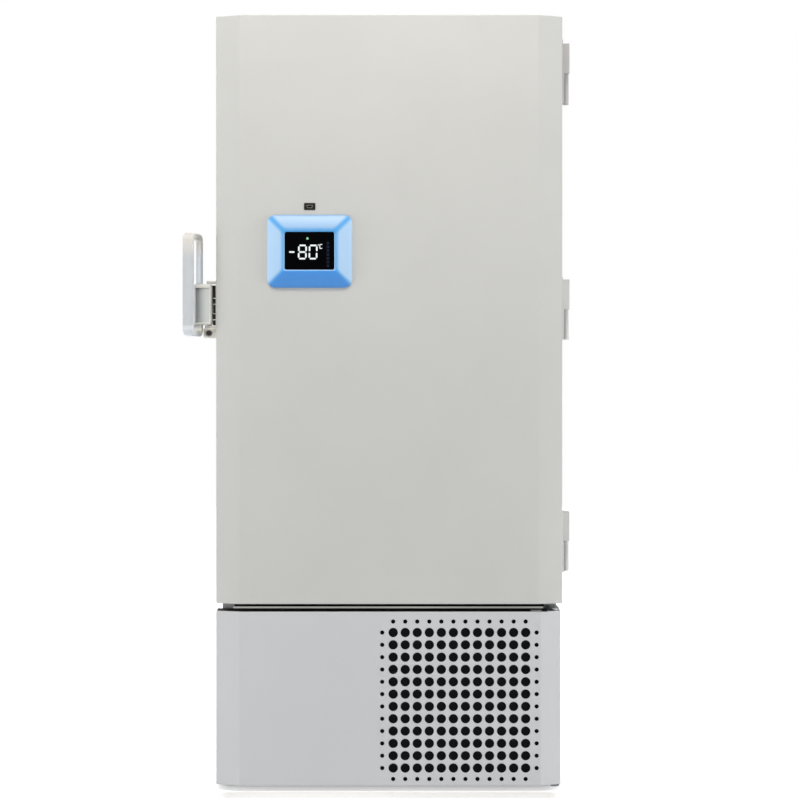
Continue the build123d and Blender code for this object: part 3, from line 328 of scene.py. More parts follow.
def handlePaint():  # silver grey with painted highlights and a painted shaded pocket
    finish = Finish("handlePaint")
    colour = finish.blend(finish.noise(9, 3), linear(197, 201, 207), linear(206, 210, 215))
    # painted shade: the pocket is darker at its left, where it is deepest
    pocket = finish.blend(finish.zone(("X", -499, -470)), linear(160, 165, 167), linear(208, 212, 211))
    # painted highlights on the rear bar, the crown and the foot; the pivot body is its own warm white paint
    # with a painted sheen
    rearBarHighlight = (("X", -497.5, -494.5), ("Z", 1298, 1302))
    crownHighlight, foot = (("Z", 1352, 1408),), (("Z", 1192, 1184),)
    body = (("X", -501, -498), ("Z", 1168, 1174), ("Z", 1299, 1295))
    pocketShadeZone = (
        ("X", -500.3, -499.7), ("X", -463, -463.5), ("Y", -441.3, -440.7),
        ("Z", 1190, 1193), ("Z", 1297, 1295),
    )
    for slopes, paint in (
        (rearBarHighlight, linear(219, 227, 237)), (crownHighlight, linear(224, 222, 218)), (foot, linear(222, 228, 236)),
        (body, linear(228, 227, 221)), (pocketShadeZone, pocket),
    ):
        colour = finish.blend(finish.zone(*slopes), colour, paint)
    finish.set("Base Color", colour)
    return finish.grained((0.3, 0.42))


def hingePaint():  # the upper hinge is painted a little greyer than the others, a painted shade
    finish = Finish("hingePaint")
    drift = finish.noise(6, 3)
    low = finish.blend(drift, linear(206, 208, 207), linear(222, 222, 220))
    high = finish.blend(drift, linear(196, 195, 195), linear(206, 204, 203))
    # painted shade on the upper hinge
    finish.set("Base Color", finish.blend(finish.zone(("Z", 1450, 1750)), low, high))
    return finish.grained((0.3, 0.42))


finishes = {
    "cabinet_paint": cloudy("cabinetPaint", (205, 206, 205), 4, Specular_IOR_Level=0.3),
    "door_paint": cloudy("doorPaint", (205, 206, 205), 4, Specular_IOR_Level=0.3),
    "access_paint": cloudy("accessPaint", (207, 209, 213), 3, Specular_IOR_Level=0.3),
    "hinge_paint": hingePaint(),
    "handle_paint": handlePaint(),
    "galvanised": cloudy("galvanisedSteel", (168, 172, 176), 9, (0.28, 0.5), 60, 0.03, Metallic=0.85),
    "stainless": cloudy("stainless", (196, 198, 200), 7, (0.3, 0.4), 60, 0.01, Metallic=0.35),
    "foam": cloudy("insulationFoam", (226, 208, 150), 18, (0.8, 0.95), 260, 0.4),
    "white_plastic": cloudy("whitePlastic", (228, 230, 231), 5, (0.38, 0.5)),
    "copper": cloudy("copperTube", (190, 112, 76), 22, (0.25, 0.42), 240, 0.04, Metallic=0.95),
    "seal": cloudy("sealRubber", (70, 72, 75), 8, (0.5, 0.65)),
    "blue_plastic": cloudy("bezelPlastic", (128, 180, 236), 4, (0.22, 0.3)),
    "screen_glass": cloudy("screenGlass", (3, 3, 5), 2, (0.12, 0.18), 900, 0.0, Specular_IOR_Level=0.02),
    "black_plastic": cloudy("blackPlastic", (30, 31, 33), 6, (0.4, 0.55)),
    "filter_foam": cloudy("filterFoam", (17, 18, 22), 8, (0.85, 0.98), 700, 0.9, Specular_IOR_Level=0.2),
    "black_iron": cloudy("blackIron", (34, 35, 37), 8, (0.3, 0.45), 300, 0.05),
    "aluminium_fins": cloudy("aluminiumFins", (188, 191, 194), 12, (0.3, 0.45), 700, 0.03, Metallic=0.9),
    "wheel_rubber": cloudy("wheelRubber", (88, 90, 93), 10, (0.55, 0.7), 500, 0.08),
}
for node in frame["nodes"].values():
    for materialSlot in node.material_slots:
        slotName = materialSlot.material.name.split(".")[0] if materialSlot.material else None
        if slotName in finishes:
            materialSlot.material = finishes[slotName]
print("finishes ready")


# camera and stage

view = {"centre": (0.0250, 1.001), "distance": 5.5, "doorFront": -0.511, "span": 2.034, "farthest": 60}
studio = {
    # painted shadow round the object's foot and painted light under its front edge, set by glow, beside,
    # before and lip
    "ambient": 0.08, "floor": 14, "glow": (0.12, 0.5),
    "beside": (0.405, 0.475), "middle": -0.06, "before": (0.42, 0.95),
    "lip": ((-0.40, -0.45), (-0.525, -0.505)),
    "lamps": {  # place, aim, size, power and tint
        "keyAbove": ((-0.2, -2.3, 4.3), (0, -0.4, 1.9), (2.4, 1.2), 116, (1.0, 0.968, 0.90)),
        "softLeft": ((-4.3, -1.9, 0.6), (0, -0.4, 0.7), (1.4, 1.2), 86, (0.985, 0.995, 1.0)),
        "softRight": ((4.3, -1.9, 0.6), (0, -0.4, 0.7), (1.4, 1.2), 95, (0.985, 0.995, 1.0)),
        "softBehind": ((0.5, 4.2, 3.4), (0, 0.2, 1.0), (3.0, 2.0), 75, (1.0, 1.0, 1.0)),
    },
}

camera = bpy.data.objects.new("camera", bpy.data.cameras.new("camera"))
collection.objects.link(camera)
camera.location = (view["centre"][0], view["doorFront"] - view["distance"], view["centre"][1])
camera.rotation_euler = (math.radians(90), 0, 0)
camera.data.angle = 2 * math.atan(view["span"] / 2 / view["distance"])
camera.data.clip_end = view["farthest"]
bpy.context.scene.camera = camera

floorMesh = bmesh.new()
bmesh.ops.create_grid(floorMesh, x_segments=1, y_segments=1, size=studio["floor"])
floor = bpy.data.objects.new("floor", bpy.data.meshes.new("floor"))
floorMesh.to_mesh(floor.data)
floorMesh.free()
collection.objects.link(floor)


def seenDirectly(tree):  # 1 for what the camera, a mirror or glass sees, 0 for light on the object
    direct, glossy, through = (
        tree.node("ShaderNodeLightPath", wanted=f"Is {kind} Ray")
        for kind in ("Camera", "Glossy", "Transmission")
    )
    return tree.node(
        "ShaderNodeMath", {"operation": "ADD", "use_clamp": True}, {0: direct + glossy, 1: through}
    )


def floorPaintedShadowAndLight():  # glows less round the object's foot, a painted shadow that also lets its own shadow stay, glows more in a painted light strip under the front edge, and is white further out
    finish = Finish("studioFloorPaintedShadow", Roughness=0.9, Emission_Color=(1, 1, 1, 1))
    finish.set("Base Color", finish.blend(finish.noise(2), linear(238, 238, 238), linear(244, 244, 244)))
    x, y = finish.coordinate("X"), finish.coordinate("Y")
    beside = finish.ramp(x.absolute(), *studio["beside"])
    before = finish.ramp((y - studio["middle"]).absolute(), *studio["before"])
    behindLitStrip, beforeLitStrip = studio["lip"]
    # painted light in the strip under the front edge, painted shadow elsewhere round the foot
    near = finish.between(finish.ramp(y, *behindLitStrip) * finish.ramp(y, *beforeLitStrip), *studio["glow"])
    glow = finish.between(1 - (1 - beside) * (1 - before), near, 1.0)
    finish.set("Emission Strength", seenDirectly(finish) * glow)
    return finish.material


floor.data.materials.append(floorPaintedShadowAndLight())

world = bpy.data.worlds.new("studio")
bpy.context.scene.world = world
sky = NodeTree(world)
soft, pale = (
    sky.node("ShaderNodeBackground", None, {"Color": (1, 1, 1, 1), "Strength": level})
    for level in (studio["ambient"], 1.0)
)
backdrop = sky.node("ShaderNodeMixShader", None, {0: seenDirectly(sky), 1: soft, 2: pale})
sky.feed(sky.nodes["World Output"].inputs["Surface"], backdrop)


def addLamp(name, place, aim, size, power, tint):
    lamp = bpy.data.objects.new(name, bpy.data.lights.new(name, "AREA"))
    lamp.data.shape = "RECTANGLE"
    lamp.data.size, lamp.data.size_y = size
    lamp.data.energy = power
    lamp.data.color = tint
    lamp.visible_glossy = not name.startswith("soft")  # no burnt streak on a door seen from the side
    lamp.location = place
    lamp.rotation_euler = (Vector(aim) - Vector(place)).to_track_quat("-Z", "Y").to_euler()
    collection.objects.link(lamp)


for name, lamp in studio["lamps"].items():
    addLamp(name, *lamp)
print("camera and stage ready")


# outer door

door = {
    "side": 443.5, "front": -511, "back": -399, "facetWidth": 62, "facetDepth": 26,
    "bottom": 478.2, "top": 1980, "return": 22, "sheet": 1.5, "bend": 3.5, "edge": 1.4,
    "window": (-202.6, 1491.5, 19, 10),
}


def cutWindow(bm):  # opens the front sheet for the data port
    x, z, width, height = (c * mm for c in door["window"])
    for normal, middle, size in ((Vector((1, 0, 0)), x, width), (Vector((0, 0, 1)), z, height)):
        for place in (middle - size / 2, middle + size / 2):
            bmesh.ops.bisect_plane(
                bm, geom=bm.verts[:] + bm.edges[:] + bm.faces[:], plane_co=normal * place, plane_no=normal,
                dist=tiny,
            )

    def inWindow(face):
        middle = face.calc_center_median()
        inFront = middle.y < (door["front"] + 1) * mm
        return inFront and abs(middle.x - x) < width / 2 and abs(middle.z - z) < height / 2

    bmesh.ops.delete(bm, geom=[f for f in bm.faces if inWindow(f)], context="FACES")


def doorSheet():  # the door's outline in plan, raised, with its bends and rims rounded and its back open
    side, front, back = door["side"], door["front"], door["back"]
    bend, shoulder = side - door["facetWidth"], front + door["facetDepth"]
    plan = [(-side, back), (-side, shoulder), (-bend, front), (bend, front), (side, shoulder), (side, back)]
    bm = prism([(x, y, door["bottom"]) for x, y in plan], (0, 0, door["top"] - door["bottom"]))
    bevel(bm, [e for e in bm.edges if not isLevel(e)], door["bend"], 4)
    rims = [e for e in bm.edges if isLevel(e) and any(abs(f.normal.z) > 0.9 for f in e.link_faces)]
    bevel(bm, rims, door["edge"], 3)
    rear = max(bm.faces, key=lambda f: f.normal.y * f.calc_area())
    bmesh.ops.inset_region(
        bm, faces=[rear], thickness=(door["return"] - door["edge"]) * mm, use_even_offset=True
    )
    bmesh.ops.delete(bm, geom=[rear], context="FACES")
    cutWindow(bm)
    return bm


addPiece(
    "door_front_sheet", doorSheet(), finishes["door_paint"], "outer_door",
    ["door_outer_skin"], sheet=(door["sheet"], -1, True),
)
print("outer door ready")


# display

screen = {"size": (126, 96), "face": -529, "corner": 5, "thick": 12, "rim": 0.4}
display = {
    "centre": (-202.6, 1377.5), "width": 216, "height": 186, "corner": 21, "lip": 45, "sheet": 1.2,
    "profile": (  # from the foot up the long slope to a lip that rolls in to the glass: inset and height
        (0, 0), (0.4, 2.2), (1.6, 4.4), (4.0, 6.6), (8, 8.8), (14, 11.6), (20, 14.2), (27, 16.9),
        (33, 18.9), (37.5, 19.9), (41, 20.0), (43, 19.7), (44.4, 18.9), (45, 17.4),
    ),
    # the frame's painted light on its top, sides and rim, and painted shade in its mitres, next to the
    # mouth and on its underside
    "light": (183, 216, 249), "lightTop": (154, 190, 231), "deep": (84, 168, 236), "underShade": (68, 144, 226),
    "rim": (160, 206, 250), "cloud": (120, 182, 240),
}


def roundedSkin(rows, centre, segments, closed=False):
    # through rounded rectangles, each with its width, height, corner and depth from the door's front
    bm = bmesh.new()
    rings = []
    for width, height, corner, depth in rows:
        outline = roundedOutline(bm, width, height, corner, segments)
        standUp(bm, outline.verts[:], (centre[0], door["front"] + depth, centre[1]))
        rings.append(openRing(bm, outline))
    for one, other in zip(rings, rings[1:]):
        bmesh.ops.bridge_loops(bm, edges=one + other)
    if closed:
        for end in (rings[0], rings[-1]):
            bmesh.ops.contextual_create(bm, geom=end)
        bmesh.ops.recalc_face_normals(bm, faces=bm.faces)
    else:
        faceFront(bm)
    return bm


def displayFrame():
    width, height, outer = display["width"], display["height"], display["corner"]
    narrower = (screen["corner"] - outer) / display["lip"]
    return roundedSkin([
        (width - 2 * inset, height - 2 * inset, outer + narrower * inset, -out)
        for inset, out in display["profile"]
    ], display["centre"], 8)


def framePaintedLightAndShade():
    # translucent blue plastic with painted light and shade in its colour: painted light on the top and
    # sides, painted shade on the underside, in the mitres and next to the mouth, and a painted highlight on
    # the inner lip
    finish = Finish("bezelPlastic", Specular_IOR_Level=0.4)
    light, lightTop, deep, dark, bright, cloud = (
        linear(*display[key]) for key in ("light", "lightTop", "deep", "underShade", "rim", "cloud")
    )
    middleX, middleZ = display["centre"]
    x, z = finish.coordinate("X"), finish.coordinate("Z")
    across = (x - middleX * mm).absolute() - (display["width"] / 2 - display["lip"]) * mm
    up = (z - middleZ * mm).absolute() - (display["height"] / 2 - display["lip"]) * mm
    outward = across.greater(up)
    clear = finish.ramp((across - up).absolute(), 0, 17 * mm) * finish.ramp(outward, 1 * mm, 15 * mm)
    overOrUnder = finish.ramp(up - across, -7 * mm, 5 * mm)
    above = finish.zone(("Z", middleZ, middleZ + 24)) * overOrUnder
    below = finish.zone(("Z", middleZ, middleZ - 24)) * overOrUnder
    # painted highlight on the mouth's rim, except at its top
    rim = finish.ramp(outward, 3.4 * mm, 2.2 * mm) * finish.zone(("Z", 1424, 1420))
    # painted shade in the mitres and next to the mouth, painted light on the top and sides, painted shade
    # underneath
    body = finish.blend(clear, deep, finish.blend(above, light, lightTop))
    body = finish.blend(below, body, dark)
    body = finish.blend(rim * 0.75, body, bright)
    finish.set("Base Color", finish.blend(finish.noise(30) * 0.12, body, cloud))
    return finish.grained((0.3, 0.38), (20, 3), 700)


addPiece(
    "display_frame", displayFrame(), framePaintedLightAndShade(), "outer_door", ["display_bezel"],
    sheet=(display["sheet"], -1, False), flat=False,
)

port = {
    "centre": door["window"][:2],
    "rings": (  # from behind, over the cover and into its pocket
        (17.2, 9.4, 1.6, 9.4), (17.2, 9.4, 1.6, 0.5), (29, 18, 2.2, 0.5), (29, 18, 2.2, -1.0),
        (28.3, 17.3, 1.9, -1.4), (16.8, 9.0, 1.4, -1.4), (16.0, 8.2, 1.2, -0.9), (16.0, 8.2, 1.2, 8.6),
    ),
    "shell": (15.4, 7.6, 1.1, -1.65), "shellLength": 4,  # width, height, thickness, depth from the door
    "outline": (  # of the shell, as shares of its half width and height
        (-1, 0.45), (-1, 1), (1, 1), (1, 0.45), (0.72, -1), (0.0, -1), (-0.72, -1), (-0.86, -0.3),
    ),
}


def portShell():  # the socket's metal shell: a ring with two cut corners
    bm = bmesh.new()
    middleX, middleZ = port["centre"]
    width, height, thick, depth = port["shell"]
    ring = bm.faces.new([bm.verts.new((
        (middleX + x * width / 2) * mm, (door["front"] + depth) * mm, (middleZ + z * height / 2) * mm
    )) for x, z in port["outline"]])
    ring.normal_update()
    bmesh.ops.inset_region(bm, faces=[ring], thickness=thick * mm, use_boundary=True, use_even_offset=True)
    bmesh.ops.delete(bm, geom=[ring], context="FACES")
    faceFront(bm)
    return bm


addPiece(
    "data_port_cover", roundedSkin(port["rings"], port["centre"], 4, closed=True),
    cloudy("portPlastic", (30, 29, 26), 5, (0.4, 0.5), Specular_IOR_Level=0.25), "outer_door",
    ["data_port"],
)
addPiece(
    "data_port_shell", portShell(), cloudy("portShell", (150, 148, 140), 10, (0.3, 0.4), Metallic=0.6),
    "outer_door", smooth=False, sheet=(port["shellLength"], -1, False), flat=False,
)
print("display ready")


# access door

access = {
    "left": -443.5, "right": 438.5, "leftFacet": 62, "rightFacet": 52, "front": -511, "facetBack": -485,
    "bottom": 15, "top": 458.6, "sideBack": -391, "flangeBack": -465, "bend": 1.3, "sheet": 1.5,
    "holes": 12, "pitch": (30.7, 31.4), "grille": (179, 233), "hole": 24, "edgeHole": 11,
    "edgeOffset": 28, "margin": 9, "sides": 24,
}


def grilleCell(bm, centre, half, hole, holeCentre):
    # one cell, from its rectangular rim to its round hole
    sides = access["sides"]
    rim = bmesh.ops.create_circle(bm, cap_ends=False, radius=1, segments=sides)["verts"]
    for vert in rim:
        reach = max(abs(vert.co.x), abs(vert.co.y))
        vert.co = (
            (centre[0] + vert.co.x / reach * half[0]) * mm, access["front"] * mm,
            (centre[1] + vert.co.y / reach * half[1]) * mm,
        )
    if not hole:
        bmesh.ops.contextual_create(bm, geom=edgesOf(rim))
        return
    ring = bmesh.ops.create_circle(bm, cap_ends=False, radius=hole / 2 * mm, segments=sides)["verts"]
    standUp(bm, ring, (holeCentre[0], access["front"], holeCentre[1]))
    bmesh.ops.bridge_loops(bm, edges=edgesOf(rim) + edgesOf(ring))


def cellLines(middle, step):
    # along one direction: each cell's centre, half width and hole's centre, and whether its hole is large
    count, offset = access["holes"], access["edgeOffset"]
    reach = step * (count - 1) / 2
    places = [middle - reach + step * n for n in range(count)]
    half = (offset - step / 2 + access["margin"]) / 2
    rows = [(place, step / 2, place, True) for place in places]
    for side in (-1, 1):
        edge = middle + side * (reach + step / 2 + half)
        rows.append((edge, half, middle + side * (reach + offset), False))
    return rows


def perforatedSheet():
    bm = bmesh.new()
    (middleX, middleZ), (stepX, stepZ) = access["grille"], access["pitch"]
    for x, halfX, holeX, innerX in cellLines(middleX, stepX):
        for z, halfZ, holeZ, innerZ in cellLines(middleZ, stepZ):
            hole = access["hole"] if innerX and innerZ else access["edgeHole"] if innerX or innerZ else 0
            grilleCell(bm, (x, z), (halfX, halfZ), hole, (holeX, holeZ))
    bmesh.ops.remove_doubles(bm, verts=bm.verts, dist=0.05 * mm)

    def carry(border, target):  # draws a border of the sheet out to a place
        for vert in vertsOf(bmesh.ops.extrude_edge_only(bm, edges=border)["geom"]):
            vert.co = target(vert.co)

    def border(axis, side):
        limit = max(side * v.co[axis] for v in bm.verts) - 10 * tiny
        return [e for e in bm.edges if e.is_boundary and all(side * v.co[axis] > limit for v in e.verts)]

    left, right, bottom, top, facetBack, sideBack, flangeBack = (
        access[key] * mm
        for key in ("left", "right", "bottom", "top", "facetBack", "sideBack", "flangeBack")
    )
    bendLeft, bendRight = left + access["leftFacet"] * mm, right - access["rightFacet"] * mm
    carry(border(2, 1), lambda p: (p.x, p.y, top))
    carry(border(2, -1), lambda p: (p.x, p.y, bottom))
    for side, bend, end in ((-1, bendLeft, left), (1, bendRight, right)):
        carry(border(0, side), lambda p: (bend, p.y, p.z))
        carry(border(0, side), lambda p: (end, facetBack, p.z))
        carry(border(0, side), lambda p: (p.x, sideBack, p.z))
    for level in (bottom, top):
        rim = [
            e for e in bm.edges if e.is_boundary
            and all(abs(v.co.z - level) < tiny and v.co.y < facetBack + 10 * tiny for v in e.verts)
        ]
        carry(rim, lambda p: (p.x, flangeBack, p.z))
    bmesh.ops.recalc_face_normals(bm, faces=bm.faces)
    bevel(bm, sharpEdges(bm, 15), access["bend"], 3)
    return bm


addPiece(
    "access_door_sheet", perforatedSheet(), finishes["access_paint"], "access_door",
    ["access_door_front", "access_door_frame"], sheet=(access["sheet"], -1, True),
)
print("access door ready")


# screen

marks = {
    "height": 37.8, "width": 22.6, "stroke": 4.2, "gap": (2.3, 4.6), "slant": 0.03, "minus": 0.85,
    "digits": (("g", -247.2), ("abcdefg", -220.4), ("abcdef", -193.2)), "middle": 1374.4, "sheet": 0.12,
    "unit": (-174.6, 1388.6, 10.0, 6, 2.0), "degree": (-180.1, 1392.1, 1.6),
    "lamp": (-207.6, 1408.8, 2.9), "icons": (-155.5, 1397, 7, 9.6, 8, 1.1),
}


def glow(name, colour):  # lit marks with a little unevenness
    finish = Finish(
        name, Base_Color=linear(10, 10, 10), Roughness=0.4, Specular_IOR_Level=0.1, Emission_Strength=1.0
    )
    bright = linear(*(min(255, c + 8) for c in colour))
    finish.set("Emission Color", finish.blend(finish.noise(60), linear(*colour), bright))
    return finish.material


def stroke(bm, centre, length, width, turn=0):  # one lit bar with cut corners, lying flat
    made = bmesh.ops.create_circle(bm, cap_ends=True, radius=1, segments=8)["verts"]
    bmesh.ops.rotate(bm, cent=(0, 0, 0), matrix=Matrix.Rotation(math.radians(22.5), 3, "Z"), verts=made)
    for vert in made:
        end = abs(vert.co.x) > abs(vert.co.y)
        vert.co.x = math.copysign(length / 2 if end else length / 2 - width / 4, vert.co.x) * mm
        vert.co.y = math.copysign(width / 4 if end else width / 2, vert.co.y) * mm
    bmesh.ops.rotate(bm, cent=(0, 0, 0), matrix=Matrix.Rotation(math.radians(turn), 3, "Z"), verts=made)
    bmesh.ops.translate(bm, vec=(centre[0] * mm, centre[1] * mm, 0), verts=made)


def dot(bm, centre, radius, segments):
    made = bmesh.ops.create_circle(bm, cap_ends=True, radius=radius * mm, segments=segments)["verts"]
    bmesh.ops.translate(bm, vec=(centre[0] * mm, centre[1] * mm, 0), verts=made)


def litDigits(bm):
    wide, thick, gap, middle = marks["width"], marks["stroke"], marks["gap"], marks["middle"]
    across, up = wide - thick, (marks["height"] - thick) / 2
    level, rise = across - gap[0], up - gap[1]
    layout = {
        "a": ((0, up), level, 0), "g": ((0, 0), level, 0), "d": ((0, -up), level, 0),
        "f": ((-across / 2, up / 2), rise, 90), "b": ((across / 2, up / 2), rise, 90),
        "e": ((-across / 2, -up / 2), rise, 90), "c": ((across / 2, -up / 2), rise, 90),
    }
    for segments, x in marks["digits"]:
        for key in segments:
            (dx, dz), length, turn = layout[key]
            share = marks["minus"] if segments == "g" else 1
            stroke(bm, (x + dx + dz * marks["slant"], middle + dz), length * share, thick, turn)
    x, z, size, arm, width = marks["unit"]
    degreeX, degreeZ, radius = marks["degree"]
    dot(bm, (degreeX, degreeZ), radius, 12)
    for end in (1, -1):
        stroke(bm, (x + 1.5, z + end * size / 2), arm, width)
    stroke(bm, (x - 1.6, z), size, width, 90)


def sideIcons(bm):  # a column of dim generic symbols at the screen's right
    x, top, count, step, long, thin = marks["icons"]
    for n in range(count):
        z = top - n * step
        if n in (0, count - 1):
            for angle in (0, 60, 120):
                stroke(bm, (x, z), long, thin, angle)
        else:
            for shift in (-2.2, 0, 2.2):
                stroke(bm, (x, z + shift), long if shift else 5, thin)


def litPiece(name, finish, draw, out):  # flat marks a little way out of the glass
    bm = bmesh.new()
    draw(bm)
    standUp(bm, bm.verts, (0, screen["face"] - out, 0))
    faceFront(bm)
    addPiece(
        name, bm, finish, "outer_door", smooth=False, sheet=(marks["sheet"], 1, False),
        flat=False,
    )


def statusLamp(bm):
    x, z, radius = marks["lamp"]
    dot(bm, (x, z), radius, 20)


litPiece("display_digits", glow("litDigits", (240, 246, 250)), litDigits, 0.15)
litPiece("display_icons", glow("dimIcons", (24, 38, 62)), sideIcons, 0.1)
litPiece("display_status_lamp", glow("statusLamp", (150, 222, 168)), statusLamp, 0.1)


def screenPane():  # black glass with rounded corners and a soft rim
    bm = bmesh.new()
    x, z = display["centre"]
    pane = roundedOutline(bm, *screen["size"], screen["corner"], 6)
    standUp(bm, pane.verts[:], (x, screen["face"], z))
    drawOut(bm, pane, (0, screen["thick"], 0))
    front = screen["face"] * mm
    rim = [e for e in sharpEdges(bm, 60) if all(abs(v.co.y - front) < tiny for v in e.verts)]
    bevel(bm, rim, screen["rim"])
    return bm


addPiece(
    "display_glass", screenPane(), finishes["screen_glass"], "outer_door",
    ["display_screen"],
)
print("screen ready")


# handle and latch

handle = {
    "rear": (-491, -427), "tilt": 16.5, "depth": 77.5, "bottom": 1170, "rise": 248, "corner": 11,
    "gripWidth": 28, "rearWidth": 15, "barDepth": 16, "round": 4.5,
    "body": ((-505.5, -442.5, 1192), (-458, -407.5, 1298)), "bodyRound": 5, "hookRound": 1.6,
    "pocket": (5.5, 4, 3, 0.5), "pocketWall": (1.2, -2), "pocketRound": 0.8,
    "hook": (  # the foot that joins the body to the loop, and the hook behind the body
        ((-505, -436, 1172), (-484, -414, 1196)), ((-496, -409, 1226), (-484, -356, 1264)),
        ((-485, -366, 1226), (-471.5, -356, 1264)),
    ),
}


def pivotBody(bm):  # a block with a pocket in its front, made while the mesh is empty
    block(bm, *handle["body"])
    low, high = ([c * mm for c in corner] for corner in handle["body"])
    bm.normal_update()
    front = min(bm.faces, key=lambda f: f.normal.y)
    margin, top, deep, shallow = handle["pocket"]
    bmesh.ops.inset_region(bm, faces=[front], thickness=margin * mm, use_even_offset=True)
    for vert in front.verts:  # the pocket's floor slopes in towards its left side, under a broad top lip
        if vert.co.z > (low[2] + high[2]) / 2:
            vert.co.z -= top * mm
    thickness, depth = (c * mm for c in handle["pocketWall"])
    bmesh.ops.inset_region(bm, faces=[front], thickness=thickness, depth=depth, use_even_offset=True)
    for vert in front.verts:
        vert.co.y += (deep if vert.co.x < (low[0] + high[0]) / 2 else shallow) * mm
    bm.normal_update()

    def onSide(edge, axis):
        ends = [v.co[axis] for v in edge.verts]
        return all(min(abs(end - low[axis]), abs(end - high[axis])) < tiny for end in ends)

    bevel(bm, [e for e in sharpEdges(bm, 40) if onSide(e, 0) or onSide(e, 2)], handle["bodyRound"], 5)
    bevel(bm, sharpEdges(bm, 40), handle["pocketRound"])


def gripLoop(bm):
    corner, depth = handle["corner"] * mm, handle["depth"] * mm
    low, high = handle["bottom"] * mm, (handle["bottom"] + handle["rise"]) * mm
    old = set(bm.verts)
    section = roundedOutline(bm, handle["barDepth"], handle["gripWidth"], handle["round"], 4)
    bmesh.ops.translate(bm, vec=(0, 0, low + corner), verts=section.verts[:])
    ring = openRing(bm, section)

    def edgesIn(geom):
        return [part for part in geom if isinstance(part, bmesh.types.BMEdge)]

    def along(edges, vector):
        made = bmesh.ops.extrude_edge_only(bm, edges=edges)["geom"]
        bmesh.ops.translate(bm, vec=vector, verts=vertsOf(made))
        return edgesIn(made)

    def quarter(edges, centre):
        verts = list({v for e in edges for v in e.verts})
        return edgesIn(bmesh.ops.spin(
            bm, geom=edges + verts, cent=centre, axis=(0, 1, 0), angle=math.radians(90), steps=8,
            use_duplicate=False,
        )["geom_last"])

    straight, across = high - low - 2 * corner, depth - 2 * corner
    ring = along(ring, (0, 0, straight))
    ring = quarter(ring, (corner, 0, high - corner))
    ring = along(ring, (across, 0, 0))
    ring = quarter(ring, (depth - corner, 0, high - corner))
    ring = along(ring, (0, 0, -straight))
    ring = quarter(ring, (depth - corner, 0, low + corner))
    ring = along(ring, (-across, 0, 0))
    quarter(ring, (corner, 0, low + corner))
    bmesh.ops.remove_doubles(bm, verts=[v for v in bm.verts if v not in old], dist=10 * tiny)
    tilt = math.radians(handle["tilt"])
    out = Vector((-math.sin(tilt), -math.cos(tilt), 0))
    turn = Matrix((out, (-out.y, out.x, 0), (0, 0, 1))).transposed()
    rear = Vector((*handle["rear"], 0)) * mm
    narrow = handle["rearWidth"] / handle["gripWidth"]
    reach = handle["barDepth"] / 2 * mm
    for vert in bm.verts:
        if vert not in old:  # the cast loop narrows evenly from the grip to the rear bar
            share = min(1, max(0, (vert.co.x - reach) / (depth - 2 * reach)))
            vert.co.y *= narrow + (1 - narrow) * share
            vert.co = turn @ vert.co + rear


handleMesh = bmesh.new()
pivotBody(handleMesh)
gripLoop(handleMesh)
for low, high in handle["hook"]:
    softBlock(handleMesh, low, high, handle["hookRound"])
bmesh.ops.recalc_face_normals(handleMesh, faces=handleMesh.faces)
addPiece(
    "grip_handle", handleMesh, finishes["handle_paint"], "handle", ["door_handle"], angle=40
)

lock = {
    "plate": ((-447.5, -450, 1158.5), (-443.5, -400, 1306.5)), "plateRound": 1.2, "blockRound": 1.6,
    "blocks": (  # bottom, top, left, front, back and corner
        (1158.5, 1183.5, -481, -439, -411, 12.5), (1183.5, 1191.5, -477, -436, -414, 9),
        (1298.5, 1306.5, -473, -433, -416, 7),
    ),
    "centre": (-466, -439, 1171),
    "plug": ((0, -6), (6.2, -6), (6.2, 0.9), (5.7, 1.6), (4.7, 1.7), (4.4, 1.2), (0, 1.2)),
    "slot": ((-466.6, -440.4, 1167.4), (-465.4, -439.9, 1174.6)),
    "ring": ((6.5, -3), (8.6, -3), (8.6, 0.6), (8.2, 1.2), (7.2, 1.5), (6.5, 1.2), (6.5, -3)),
}


def lockHousing():
    bm = bmesh.new()
    softBlock(bm, *lock["plate"], lock["plateRound"])
    right, face = lock["plate"][1][0], lock["plate"][0][0]
    for bottom, top, left, front, back, corner in lock["blocks"]:
        made = edgesOf(block(bm, (left, front, bottom), (right, back, top)))
        bevel(bm, [e for e in made if not isLevel(e) and e.verts[0].co.x < face * mm], corner, 6)
    rims = [e for e in sharpEdges(bm, 60) if isLevel(e) and e.verts[0].co.x < (face - 0.5) * mm]
    bevel(bm, rims, lock["blockRound"], 3)
    return bm


addPiece(
    "latch_housing", lockHousing(),
    cloudy("lockBlockPaint", (212, 209, 203), 8, (0.32, 0.42), Metallic=0.2),
    "outer_door", ["latch_base"], angle=40,
)
plugMesh, ringMesh = bmesh.new(), bmesh.new()
turned(plugMesh, lock["plug"], lock["centre"], (0, -1, 0), 28)
block(plugMesh, *lock["slot"])
turned(ringMesh, lock["ring"], lock["centre"], (0, -1, 0), 32)
addPiece(
    "key_lock", plugMesh, cloudy("keyLock", (22, 22, 24), 6, (0.25, 0.4)), "lock",
    ["lock_plug"], flat=False,
)
addPiece(
    "lock_ring", ringMesh, cloudy("lockRing", (120, 116, 112), 10, (0.25, 0.4), Metallic=0.7), "outer_door",
    flat=False,
)

links = {  # dark blocks behind the handle's body, a painted shade for the gap between the body and the door's edge
    "left": -462, "right": -444.6, "front": -406.3, "back": -400.8, "round": 1.2,
    "rows": (  # bottom, top and how far each stays in from the left
        (1192, 1206, 3.5), (1207.5, 1222, 1.2), (1223, 1247, 4.6), (1248, 1262, 1.6), (1263.5, 1296, 3.2),
    ),
}
